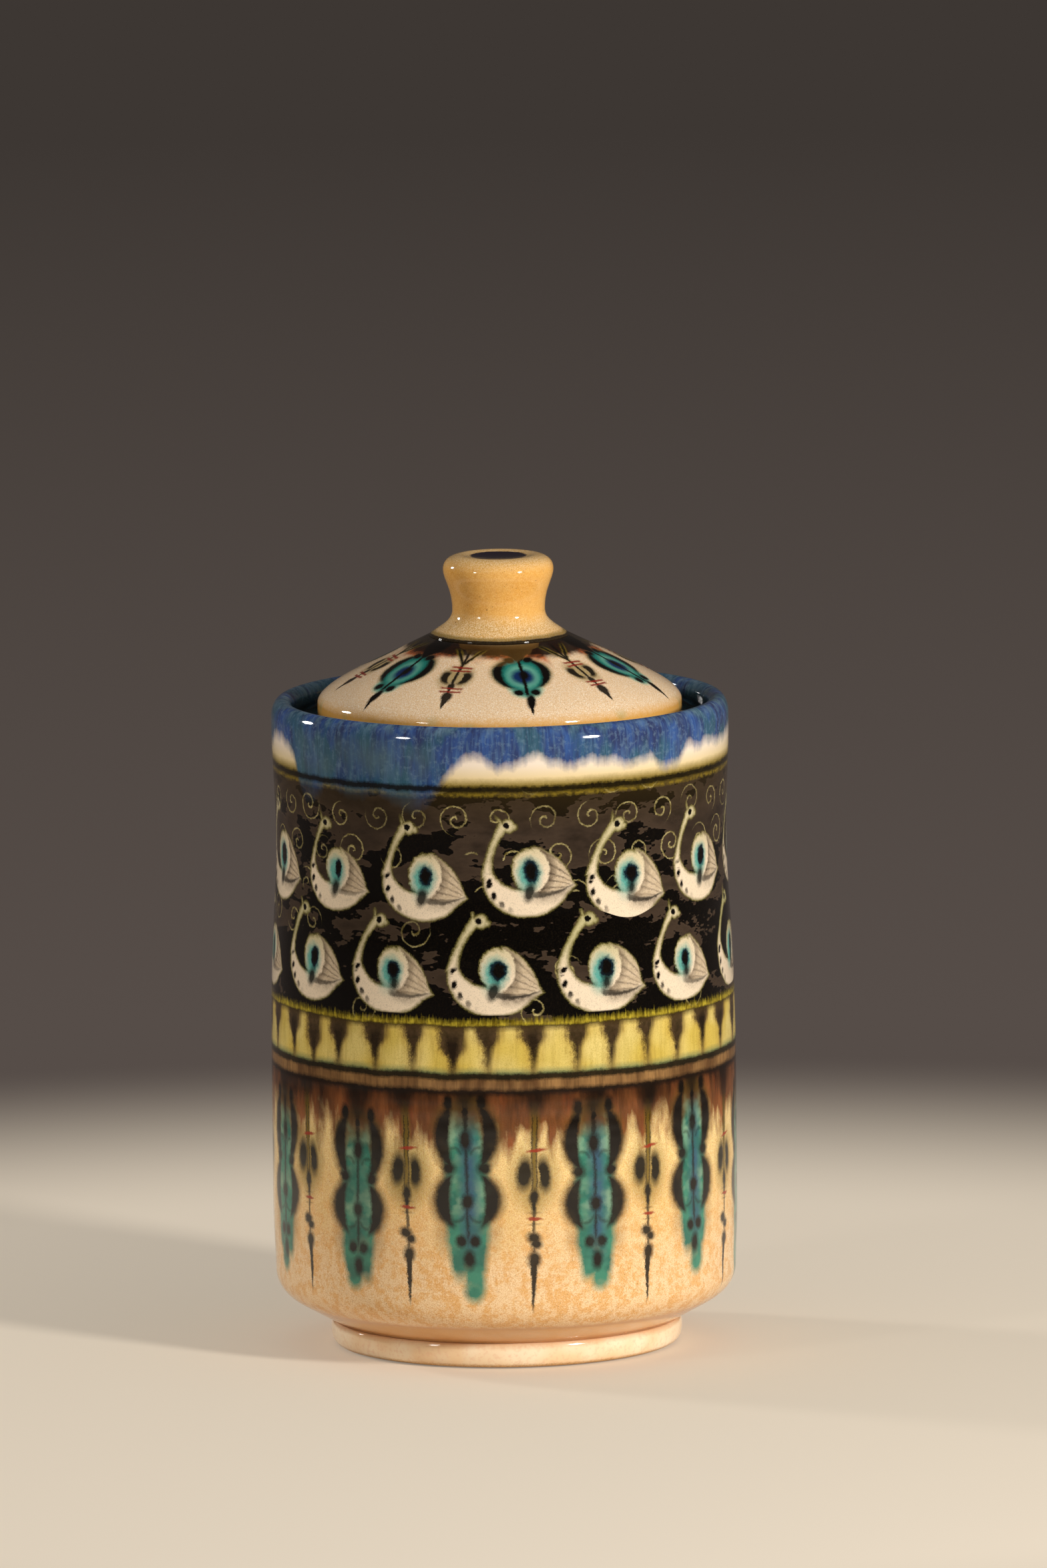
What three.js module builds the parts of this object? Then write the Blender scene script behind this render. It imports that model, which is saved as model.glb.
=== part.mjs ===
// Lidded storage jar of glazed pottery: a tall drum on a turned foot, closed by a low conical lid with a knob.
// All lengths are millimetres. Z is up, the jar stands on z = 0 and turns about the Z axis.
import * as THREE from "three";

// Drum of the jar, outside
const bellyRadius = 60;
const bellyBottomHeight = 38;
const bellyTopHeight = 72;
const waistDraw = 1.9;
const waistHeight = 131;
const neckDraw = 1;
const rimHeight = 168.2;
const rimThickness = 5.6;
const rimShoulderRise = 4.6;

// Lower corner of the drum, where the wall turns in to the foot
const cornerDraw = 0.5;
const cornerHeight = 20;
const coneWidth = 9.8;
const coneRise = 5.4;
const cornerFullness = 2.9;

// Inside of the jar
const wallThickness = 5.8;
const floorThickness = 5.5;
const floorCornerWidth = 11.2;
const floorCornerRise = 13;

// Foot ring
const footRadius = 45.4;
const footHeight = 6.5;
const footBulgeHeight = 4.2;
const footShoulder = 1;
const footUndercut = 3;
const footContactWidth = 3.8;
const footInnerRounding = 1.2;

// Ledge inside the mouth that carries the lid, on a step in the wall
const seatDepth = 5.8;
const seatWidth = 10.9;
const seatThickness = 5.2;
const seatChamferRise = 2;
const seatChamferWidth = 4.5;
const seatFitGap = 0.3;
const seatStepWidth = 2;
const seatStepTaper = 12;
const seatStepThickening = 1.6;

// Lid
const lidGap = 6.4;
const lidEdgeHeight = 4.7;
const lidShoulderWidth = 11.3;
const lidShoulderRise = 8.6;
const lidConeRise = 8.4;
const lidCrownThickness = 5;
const lidHollowFlatRadius = 12;
const lidHollowEdgeRise = 2.8;

// Ring under the lid that keeps it centred in the ledge
const flangeClearance = 1;
const flangeThickness = 4;
const flangeDepth = 7.7;
const flangeRounding = 1.5;

// Knob
const knobHeight = 20.9;
const knobFootRadius = 18.1;
const knobFootMargin = 0.3;
const knobFootEdge = 0.5;
const knobNeckRadius = 12;
const knobNeckRise = 6.9;
const knobCrownRadius = 14.3;
const knobCrownRounding = 3.7;
const knobCrestWidth = 4.7;
const knobDishDepth = 0.8;

// Facets
const turnSegments = 64;
const curveSteps = 4;
const longCurveSteps = 7;

// Places that follow from the sizes above
const waistRadius = bellyRadius - waistDraw;
const neckRadius = bellyRadius - neckDraw;
const mouthRadius = neckRadius - rimThickness;
const seatTop = rimHeight - seatDepth;
const seatBottom = seatTop - seatThickness;
const seatInnerRadius = mouthRadius - seatWidth;
const flangeRadius = seatInnerRadius - flangeClearance;
const flangeInnerRadius = flangeRadius - flangeThickness;
const lidRadius = mouthRadius - lidGap;
const lidShoulderHeight = seatTop + lidEdgeHeight + lidShoulderRise;
const lidTopHeight = lidShoulderHeight + lidConeRise;
const footTopRadius = footRadius - footShoulder;

/** Turns an outline of (radius, height) points about the Z axis into a named piece. */
function turned(name, points, colour, roughness) {
  const outline = points.filter((p, i) => i === 0 || p.distanceTo(points[i - 1]) > 1e-6);
  const geometry = new THREE.LatheGeometry(outline, turnSegments);
  geometry.rotateX(Math.PI / 2);
  const material = new THREE.MeshStandardMaterial({ color: colour, roughness, metalness: 0 });
  const piece = new THREE.Mesh(geometry, material);
  piece.name = name;
  return piece;
}

/** Adds a curve that leaves and arrives upright, so stretches of wall meet without a crease. */
function uprightCurve(path, toRadius, toHeight, leave, arrive) {
  const from = path.currentPoint;
  const rise = toHeight - from.y;
  path.bezierCurveTo(
    from.x,
    from.y + leave * rise,
    toRadius,
    toHeight - arrive * rise,
    toRadius,
    toHeight,
  );
}

// Drum: underside, corner, wall, rounded rim, then down the inside to the floor
function drumOutline() {
  const rimRounding = rimThickness / 2;
  const rimCentre = neckRadius - rimRounding;
  const rimSpring = rimHeight - rimShoulderRise;
  const innerRadius = bellyRadius - wallThickness;
  const cornerRadius = bellyRadius - cornerDraw;
  const coneTopRadius = footTopRadius + coneWidth;
  const coneTopHeight = footHeight + coneRise;
  const floorTop = footHeight + floorThickness;

  const path = new THREE.Path();
  path.moveTo(0, footHeight);
  path.lineTo(footTopRadius, footHeight);
  path.lineTo(coneTopRadius, coneTopHeight);
  path.quadraticCurveTo(cornerRadius, coneTopHeight + cornerFullness, cornerRadius, cornerHeight);
  uprightCurve(path, bellyRadius, bellyBottomHeight, 0.3, 0.5);
  path.lineTo(bellyRadius, bellyTopHeight);
  uprightCurve(path, waistRadius, waistHeight, 0.6, 0.25);
  uprightCurve(path, neckRadius, rimSpring, 0.35, 0.35);
  path.absellipse(rimCentre, rimSpring, rimRounding, rimShoulderRise, 0, Math.PI / 2, false, 0);
  path.absarc(rimCentre, rimHeight - rimRounding, rimRounding, Math.PI / 2, Math.PI, false);
  path.lineTo(mouthRadius, seatBottom);
  path.lineTo(mouthRadius - seatStepWidth, seatBottom);
  path.lineTo(innerRadius - seatStepThickening, seatBottom - seatStepTaper);
  uprightCurve(path, innerRadius, bellyTopHeight, 0.35, 0.35);
  path.lineTo(innerRadius, floorTop + floorCornerRise);
  path.quadraticCurveTo(innerRadius, floorTop, innerRadius - floorCornerWidth, floorTop);
  path.lineTo(0, floorTop);
  return path.getPoints(longCurveSteps);
}

// Foot ring: flat resting face, rounded outside, top luted to the underside of the drum
function footOutline() {
  const contactOuter = footRadius - footUndercut;
  const contactInner = contactOuter - footContactWidth;
  const innerRadius = contactInner - footInnerRounding;

  const path = new THREE.Path();
  path.moveTo(contactInner, 0);
  path.lineTo(contactOuter, 0);
  path.quadraticCurveTo(footRadius, 0, footRadius, footBulgeHeight);
  path.quadraticCurveTo(footRadius, footHeight, footTopRadius, footHeight);
  path.lineTo(innerRadius, footHeight);
  path.lineTo(innerRadius, footInnerRounding);
  path.quadraticCurveTo(innerRadius, 0, contactInner, 0);
  return path.getPoints(curveSteps);
}

// Ledge: flat on top for the lid, flat below where it sits on the step in the wall
function seatOutline() {
  const outer = mouthRadius - seatFitGap;
  const path = new THREE.Path();
  path.moveTo(seatInnerRadius + seatChamferWidth, seatBottom);
  path.lineTo(outer, seatBottom);
  path.lineTo(outer, seatTop);
  path.lineTo(seatInnerRadius, seatTop);
  path.lineTo(seatInnerRadius, seatBottom + seatChamferRise);
  path.lineTo(seatInnerRadius + seatChamferWidth, seatBottom);
  return path.getPoints(curveSteps);
}

// Lid: upright edge, rounded shoulder, straight cone, flat top for the knob, hollow below
function lidOutline() {
  const shoulderRadius = lidRadius - lidShoulderWidth;
  const topRadius = knobFootRadius + knobFootMargin;
  const slope = lidConeRise / (shoulderRadius - topRadius);
  const meeting = lidShoulderHeight - slope * lidShoulderWidth;
  const hollowTop = lidTopHeight - lidCrownThickness;
  const hollowEdge = seatTop + lidHollowEdgeRise;

  const outside = new THREE.Path();
  outside.moveTo(flangeInnerRadius, seatTop);
  outside.lineTo(lidRadius, seatTop);
  outside.lineTo(lidRadius, seatTop + lidEdgeHeight);
  outside.quadraticCurveTo(lidRadius, meeting, shoulderRadius, lidShoulderHeight);
  outside.lineTo(topRadius, lidTopHeight);
  outside.lineTo(0, lidTopHeight);

  const hollow = new THREE.Path();
  hollow.moveTo(0, hollowTop);
  hollow.lineTo(lidHollowFlatRadius, hollowTop);
  hollow.quadraticCurveTo(
    flangeInnerRadius,
    (hollowTop + hollowEdge) / 2,
    flangeInnerRadius,
    hollowEdge,
  );
  hollow.lineTo(flangeInnerRadius, seatTop);
  return [...outside.getPoints(longCurveSteps), ...hollow.getPoints(longCurveSteps)];
}

// Ring under the lid, hanging inside the ledge with a running clearance
function flangeOutline() {
  const bottom = seatTop - flangeDepth;
  const springing = bottom + flangeRounding;
  const outerCentre = flangeRadius - flangeRounding;
  const innerCentre = flangeInnerRadius + flangeRounding;

  const path = new THREE.Path();
  path.moveTo(innerCentre, bottom);
  path.lineTo(outerCentre, bottom);
  path.absarc(outerCentre, springing, flangeRounding, -Math.PI / 2, 0, false);
  path.lineTo(flangeRadius, seatTop);
  path.lineTo(flangeInnerRadius, seatTop);
  path.lineTo(flangeInnerRadius, springing);
  path.absarc(innerCentre, springing, flangeRounding, Math.PI, 1.5 * Math.PI, false);
  path.lineTo(innerCentre, bottom);
  return path.getPoints(curveSteps);
}

// Knob: flared foot, narrow neck, round crown with a shallow dish on top
function knobOutline() {
  const top = lidTopHeight + knobHeight;
  const neckHeight = lidTopHeight + knobNeckRise;
  const crownHeight = top - knobCrownRounding;
  const crestRadius = knobCrownRadius - knobCrestWidth;

  const path = new THREE.Path();
  path.moveTo(0, lidTopHeight);
  path.lineTo(knobFootRadius, lidTopHeight);
  path.lineTo(knobFootRadius - knobFootMargin, lidTopHeight + knobFootEdge);
  path.bezierCurveTo(
    knobNeckRadius + 0.35 * (knobFootRadius - knobNeckRadius),
    lidTopHeight + 0.42 * knobNeckRise,
    knobNeckRadius,
    lidTopHeight + 0.6 * knobNeckRise,
    knobNeckRadius,
    neckHeight,
  );
  uprightCurve(path, knobCrownRadius, crownHeight, 0.5, 0.25);
  path.bezierCurveTo(
    knobCrownRadius,
    crownHeight + 0.7 * knobCrownRounding,
    crestRadius + 0.5 * knobCrestWidth,
    top,
    crestRadius,
    top,
  );
  path.quadraticCurveTo(crestRadius / 2, top - knobDishDepth, 0, top - knobDishDepth);
  return path.getPoints(longCurveSteps);
}

const jar = new THREE.Group();
jar.add(
  turned("jar_body", drumOutline(), 0x5a4a38, 0.2),
  turned("foot_ring", footOutline(), 0xe0b4a0, 0.25),
  turned("lid_seat_ring", seatOutline(), 0x2c3a38, 0.25),
  turned("lid_cover", lidOutline(), 0xd8c0a8, 0.2),
  turned("lid_flange", flangeOutline(), 0xcbb59a, 0.3),
  turned("lid_knob", knobOutline(), 0xb08a4e, 0.2),
);

export default jar;
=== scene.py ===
"""Looks of a lidded pottery jar: turned skins over the solids, and hand painted bands as shader recipes.

Pieces are made in metres round the Z axis. Painted patterns are worked out in millimetres of arc and height.
Colours are written as on a colour chart, 0 to 255.
"""

import math
from functools import reduce
from types import SimpleNamespace

import bmesh
import bpy
from bpy.props import FloatProperty, FloatVectorProperty, IntProperty, PointerProperty
from mathutils import Matrix, Vector, noise
from mathutils.geometry import interpolate_bezier


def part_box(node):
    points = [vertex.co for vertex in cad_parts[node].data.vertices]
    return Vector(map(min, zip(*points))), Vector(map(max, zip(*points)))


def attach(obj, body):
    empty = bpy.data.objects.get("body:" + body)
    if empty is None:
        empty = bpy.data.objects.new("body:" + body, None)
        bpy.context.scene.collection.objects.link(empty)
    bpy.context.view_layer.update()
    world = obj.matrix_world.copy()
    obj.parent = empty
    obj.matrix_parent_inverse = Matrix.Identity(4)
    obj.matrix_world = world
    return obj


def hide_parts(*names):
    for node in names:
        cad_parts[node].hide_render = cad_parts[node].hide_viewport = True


bl_info = {
    "name": "Painted lidded jar",
    "version": (1, 0, 0),
    "blender": (4, 5, 0),
    "location": "3D View > Sidebar > Jar",
    "description": "Turns, glazes and paints a lidded pottery jar",
    "category": "Add Mesh",
}

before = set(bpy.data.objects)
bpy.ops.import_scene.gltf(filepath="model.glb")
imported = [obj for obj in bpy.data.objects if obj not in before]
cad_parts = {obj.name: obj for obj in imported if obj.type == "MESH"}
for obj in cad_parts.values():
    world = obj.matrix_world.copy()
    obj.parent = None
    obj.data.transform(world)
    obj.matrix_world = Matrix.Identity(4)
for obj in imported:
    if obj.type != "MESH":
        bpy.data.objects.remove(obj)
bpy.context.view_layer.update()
TURN = 2 * math.pi

# Corners of the solids at rest, in metres
BODY_LOW, BODY_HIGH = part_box("jar_body")
FOOT_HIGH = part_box("foot_ring")[1]
SEAT_LOW, SEAT_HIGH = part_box("lid_seat_ring")
LID_LOW, LID_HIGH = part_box("lid_cover")
FLANGE_LOW, FLANGE_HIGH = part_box("lid_flange")
KNOB_LOW, KNOB_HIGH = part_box("lid_knob")

# Sizes that the boxes do not show, in metres
FOOT_TOP_RADIUS = FOOT_HIGH.x - 0.001
FLOOR_THICKNESS = 0.0055
SEAT_INNER_RADIUS = FLANGE_HIGH.x + 0.001
FLANGE_THICKNESS = 0.004

# Where the camera looks, in metres, its sensor and lens in millimetres, and how far it sees in metres
CAMERA_AIM = Vector((0.0059, 0, 0.1451))
SENSOR, LENS, CLIP_END = 36, 588, 50

# The lamps: their size, their distance and what they are aimed at, in metres
LAMP_SIZE, LAMP_DISTANCE = 0.2, 1.5
LAMP_AIM = Vector((0, 0, 0.11))

# The floor fades to the backdrop round its middle, and the backdrop changes its grey further out, in metres
FLOOR_RADIUS, FLOOR_EDGES = 9, 96
FLOOR_MIDDLE = (0, -0.06, 0)
FADE_START, FADE_END = 0.27, 0.53
GREY_START, GREY_END = 0.6, 2.6

# Room light from the level and from straight above, as shares of its strength
LEVEL_SHARE = 0.6
TOP_SHARE = 3.2

# The floor lies this far below the foot, so that no two faces share a plane
FLOOR_DROP = 0.0002

# Share of the floor's own colour that the camera sees whatever the light
FLOOR_LIFT = 0.25

# Share of the way to a corner at which a bend has its handles: a quarter circle, and a slacker bend
ROUND, SLACK = 0.5523, 2 / 3

# How much a clear glaze bends light
GLASS_IOR = 1.5

# Points closer than this are one, and the core within this radius does not stray
NEAR = 0.00001
SWAY_CORE = 0.005

# Waves of the hand sway in a metre, across and upwards
SWAY_WAVES = (14, 14, 22)

# Nodes stand in columns of this many rows, this far apart
GRID_ROWS, GRID_WIDTH, GRID_HEIGHT = 8, 190, 170


def linear(red, green, blue):
    """A colour of the chart as the shader's linear numbers."""

    def one(c):
        c /= 255
        return c / 12.92 if c <= 0.04045 else ((c + 0.055) / 1.055) ** 2.4

    return (one(red), one(green), one(blue), 1.0)


# Formulas written as shader nodes


class Step:
    """One worked-out number, vector or colour of a recipe."""

    def __init__(self, recipe, socket):
        self.recipe = recipe
        self.socket = socket

    def __add__(self, other):
        return self.recipe.math("ADD", self, other)

    def __sub__(self, other):
        return self.recipe.math("SUBTRACT", self, other)

    def __rsub__(self, other):
        return self.recipe.math("SUBTRACT", other, self)

    def __mul__(self, other):
        return self.recipe.math("MULTIPLY", self, other)

    def __truediv__(self, other):
        return self.recipe.math("DIVIDE", self, other)

    def __abs__(self):
        return self.recipe.math("ABSOLUTE", self)

    def lay(self, mask, *over):
        """Lays a colour over this one where the mask is 1; this step then stands for both."""
        self.socket = self.recipe.mix(mask, self, over if len(over) == 3 else over[0]).socket


class Recipe:
    """Writes a formula into a node tree, one node per step, in the order in which they are worked out."""

    def __init__(self, tree):
        self.tree = tree
        self.made = 0

    def node(self, kind, **settings):
        """A new node, placed after the last one in a grid."""
        node = self.tree.nodes.new(kind)
        column, row = divmod(self.made, GRID_ROWS)
        node.location = (GRID_WIDTH * column, -GRID_HEIGHT * row)
        self.made += 1
        for name, value in settings.items():
            setattr(node, name, value)
        return node

    def feed(self, socket, value):
        """Gives a socket a step, a plain value, or a tuple that may hold steps."""
        if isinstance(value, tuple) and any(isinstance(part, Step) for part in value):
            value = self.point(*value)
        if isinstance(value, Step):
            self.tree.links.new(value.socket, socket)
        else:
            socket.default_value = value

    def made_from(self, node, values, out=0):
        """Feeds a node's first sockets, or the ones named, and returns one of its outputs."""
        named = values.items() if isinstance(values, dict) else enumerate(values)
        for socket, value in named:
            self.feed(node.inputs[socket], value)
        return Step(self, node.outputs[out])

    def ends(self, kind, *results):
        """Feeds the node that ends the tree and returns the tree."""
        node = self.node(kind)
        for socket, value in zip(node.inputs, results):
            self.feed(socket, value)
        return self.tree

    def math(self, operation, a, b=0, c=0):
        return self.made_from(self.node("ShaderNodeMath", operation=operation), (a, b, c))

    def least(self, *values):
        return reduce(lambda a, b: self.math("MINIMUM", a, b), values)

    def most(self, *values):
        return reduce(lambda a, b: self.math("MAXIMUM", a, b), values)

    def vector(self, operation, a, b=(0, 0, 0), c=(0, 0, 0)):
        node = self.node("ShaderNodeVectorMath", operation=operation)
        return self.made_from(node, (a, b, c), "Value" if operation in {"LENGTH", "DISTANCE"} else "Vector")

    def point(self, x, y, z=0):
        return self.made_from(self.node("ShaderNodeCombineXYZ"), (x, y, z))

    def parts(self, vector):
        node = self.node("ShaderNodeSeparateXYZ")
        self.feed(node.inputs[0], vector)
        return [Step(self, out) for out in node.outputs]

    def seen_from(self, coordinates):
        """The point being painted, in the coordinates of that name."""
        return Step(self, self.node("ShaderNodeTexCoord").outputs[coordinates])

    def place(self, vector, at, turn, scale):
        """The point as seen from a shape at a place, turned and scaled."""
        node = self.node("ShaderNodeMapping", vector_type="TEXTURE")
        return self.made_from(node, {"Vector": vector, "Location": at, "Rotation": turn, "Scale": scale})

    def ramp(self, value, start, end, low=0, high=1, smooth=False):
        """Rises from low at start to high at end and stays there."""
        curve = "SMOOTHSTEP" if smooth else "LINEAR"
        node = self.node("ShaderNodeMapRange", clamp=True, interpolation_type=curve)
        return self.made_from(node, (value, start, end, low, high))

    def oval(self, vector, x, y, wide, high, turn=0):
        """Distance from an oval's middle, 1 on its edge."""
        return self.vector("LENGTH", self.place(vector, (x, y, 0), (0, 0, turn), (wide, high, 1)))

    def blob(self, vector, x, y, wide, high, soft, turn=0):
        """An oval brush mark: 1 inside, 0 outside, with a soft edge given as a share of its size."""
        return self.ramp(self.oval(vector, x, y, wide, high, turn), 1 + soft, 1 - soft)

    def between(self, value, low, high, soft=0.3):
        """1 between two limits, fading over a soft width at each."""
        middle, half = (low + high) / 2, (high - low) / 2
        return self.ramp(abs(value - middle), half + soft, half - soft)

    def mix(self, mask, under, over):
        """Lays one colour over another where the mask is 1; three plain numbers are a colour of the chart."""
        node = self.node("ShaderNodeMix", data_type="RGBA")
        under, over = (linear(*c) if isinstance(c, tuple) and len(c) == 3 else c for c in (under, over))
        return self.made_from(node, {0: mask, 6: under, 7: over}, 2)

    def clouds(self, vector, scale, detail=2, roughness=0.5):
        """Soft noise, as a number and as three numbers, round 0.5."""
        node = self.node("ShaderNodeTexNoise", noise_dimensions="3D")
        given = {"Vector": vector, "Scale": scale, "Detail": detail, "Roughness": roughness}
        return self.made_from(node, given, "Fac"), Step(self, node.outputs["Color"])

    def luck(self, *place):
        """Three numbers from 0 to 1 that belong to one mark."""
        node = self.node("ShaderNodeTexWhiteNoise", noise_dimensions="3D")
        return self.made_from(node, {"Vector": place}, "Color")

    def use(self, group, **given):
        """Places a group and returns its outputs in order, or the one output."""
        node = self.node("ShaderNodeGroup", node_tree=GROUPS[group])
        for name, value in given.items():
            self.feed(node.inputs[label(name)], value)
        steps = [Step(self, out) for out in node.outputs]
        return steps if len(steps) > 1 else steps[0]


SOCKETS = {"number": "NodeSocketFloat", "vector": "NodeSocketVector", "colour": "NodeSocketColor"}
GROUPS = {}


def label(name):
    """A keyword as a socket's name: light_teal is Light teal."""
    return name.capitalize().replace("_", " ")


def new_group(name, outputs, **inputs):
    """A group's recipe and its inputs; an input without a default is a vector."""
    tree = bpy.data.node_groups.new(name, "ShaderNodeTree")
    for word, value in inputs.items():
        kind = "vector" if value is None else "colour" if isinstance(value, tuple) else "number"
        socket = tree.interface.new_socket(label(word), in_out="INPUT", socket_type=SOCKETS[kind])
        if value is not None:
            socket.default_value = linear(*value) if kind == "colour" else value
    for word, kind in outputs.items():
        tree.interface.new_socket(word, in_out="OUTPUT", socket_type=SOCKETS[kind])
    recipe = Recipe(tree)
    entry = recipe.node("NodeGroupInput")
    return recipe, SimpleNamespace(**{word: Step(recipe, entry.outputs[label(word)]) for word in inputs})



# Shared groups


def group_jar_place():
    """Where a point lies on a turned pot: angle from the front, height and radius in millimetres."""
    r, given = new_group(
        "Place on the pot",
        {"Millimetres": "vector", "Angle": "number", "Height": "number", "Radius": "number"},
        position=None,
    )
    mm = r.vector("MULTIPLY", given.position, (1000, 1000, 1000))
    x, y, z = r.parts(mm)
    return r.ends("NodeGroupOutput", mm, r.math("ARCTAN2", x, y * -1), z, r.vector("LENGTH", (x, y, 0)))


def group_brush_wobble():
    """How far a painted line strays: the drift of the hand, the bleeding of the pigment and its grain."""
    r, given = new_group(
        "Brush wobble", {"Stray": "vector", "Slow": "vector", "Quick": "vector", "Fine": "vector"},
        millimetres=None, drift=0.5, bleed=0.25, grain=0.1,
    )
    total = None
    clouds = []
    for scale, detail, reach in ((0.09, 1, given.drift), (0.8, 2, given.bleed), (3.2, 1, given.grain)):
        cloud = r.clouds(given.millimetres, scale, detail, 0.6)[1]
        part = r.vector("SCALE", r.vector("SUBTRACT", cloud, (0.5, 0.5, 0.5)))
        r.feed(part.socket.node.inputs["Scale"], reach * 4)
        total = part if total is None else r.vector("ADD", total, part)
        clouds.append(cloud)
    return r.ends("NodeGroupOutput", total, *clouds)


def group_kiln_speckle():
    """Small iron specks that burn through a pale glaze."""
    r, given = new_group(
        "Kiln speckle", {"Mask": "number"}, millimetres=None, spacing=1.6, share=0.3, speck=0.18,
    )
    node = r.node("ShaderNodeTexVoronoi", feature="F1")
    cell = {"Vector": given.millimetres, "Scale": r.math("DIVIDE", 1, given.spacing)}
    distance = r.made_from(node, cell, "Distance")
    chosen, strength, _ = r.parts(Step(r, node.outputs["Color"]))
    radius = given.speck * (strength + 0.4)
    spot = r.ramp(distance, radius, radius * 0.5)
    picked = r.math("LESS_THAN", chosen, given.share)
    return r.ends("NodeGroupOutput", spot * picked * (strength * 0.6 + 0.4))


def group_glaze_skin():
    """Fine waves of a thrown and glazed wall, for the height of a bump."""
    r, given = new_group("Glaze skin", {"Height": "number"}, millimetres=None, rings=0.5, orange_peel=0.5)
    squeezed = r.vector("MULTIPLY", given.millimetres, (0.02, 0.02, 0.2))
    rings = r.clouds(squeezed, 1, 1)[0]
    peel = r.clouds(given.millimetres, 0.16, 1)[0]
    return r.ends("NodeGroupOutput", rings * given.rings + peel * given.orange_peel)


def group_spiral():
    """A thin curl scratched through the dark ground: a hook wound about one and a half times."""
    r, given = new_group("Scratched curl", {"Mask": "number"}, place=None, luck=None)
    a, b, c = r.parts(given.luck)
    shift = r.vector("MULTIPLY_ADD", given.luck, (-2.4, -1.8, 0), (1.2, 0.9, 0))
    p = r.vector("ADD", given.place, shift)
    x, y, _ = r.parts(p)
    way = r.math("SIGN", c - 0.4)
    turn = r.math("FRACT", r.math("ARCTAN2", y, x * way) / TURN + a)
    pitch = b * 0.6 + 2.4
    wound = r.vector("LENGTH", p) / pitch
    line = abs(r.math("FRACT", wound - turn) - 0.5) * pitch
    half = r.ramp(wound, 0.2, 1.6, 0.4, 0.24)
    stroke = r.ramp(line, half, half * 0.3) * r.ramp(wound, 0.2, 1.7, 1, 0.75)
    end = r.ramp(wound - c * 0.4, 1.34, 1.24)
    return r.ends("NodeGroupOutput", stroke * end * r.ramp(turn, 0, 0.8, 0.65, 1))


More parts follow.
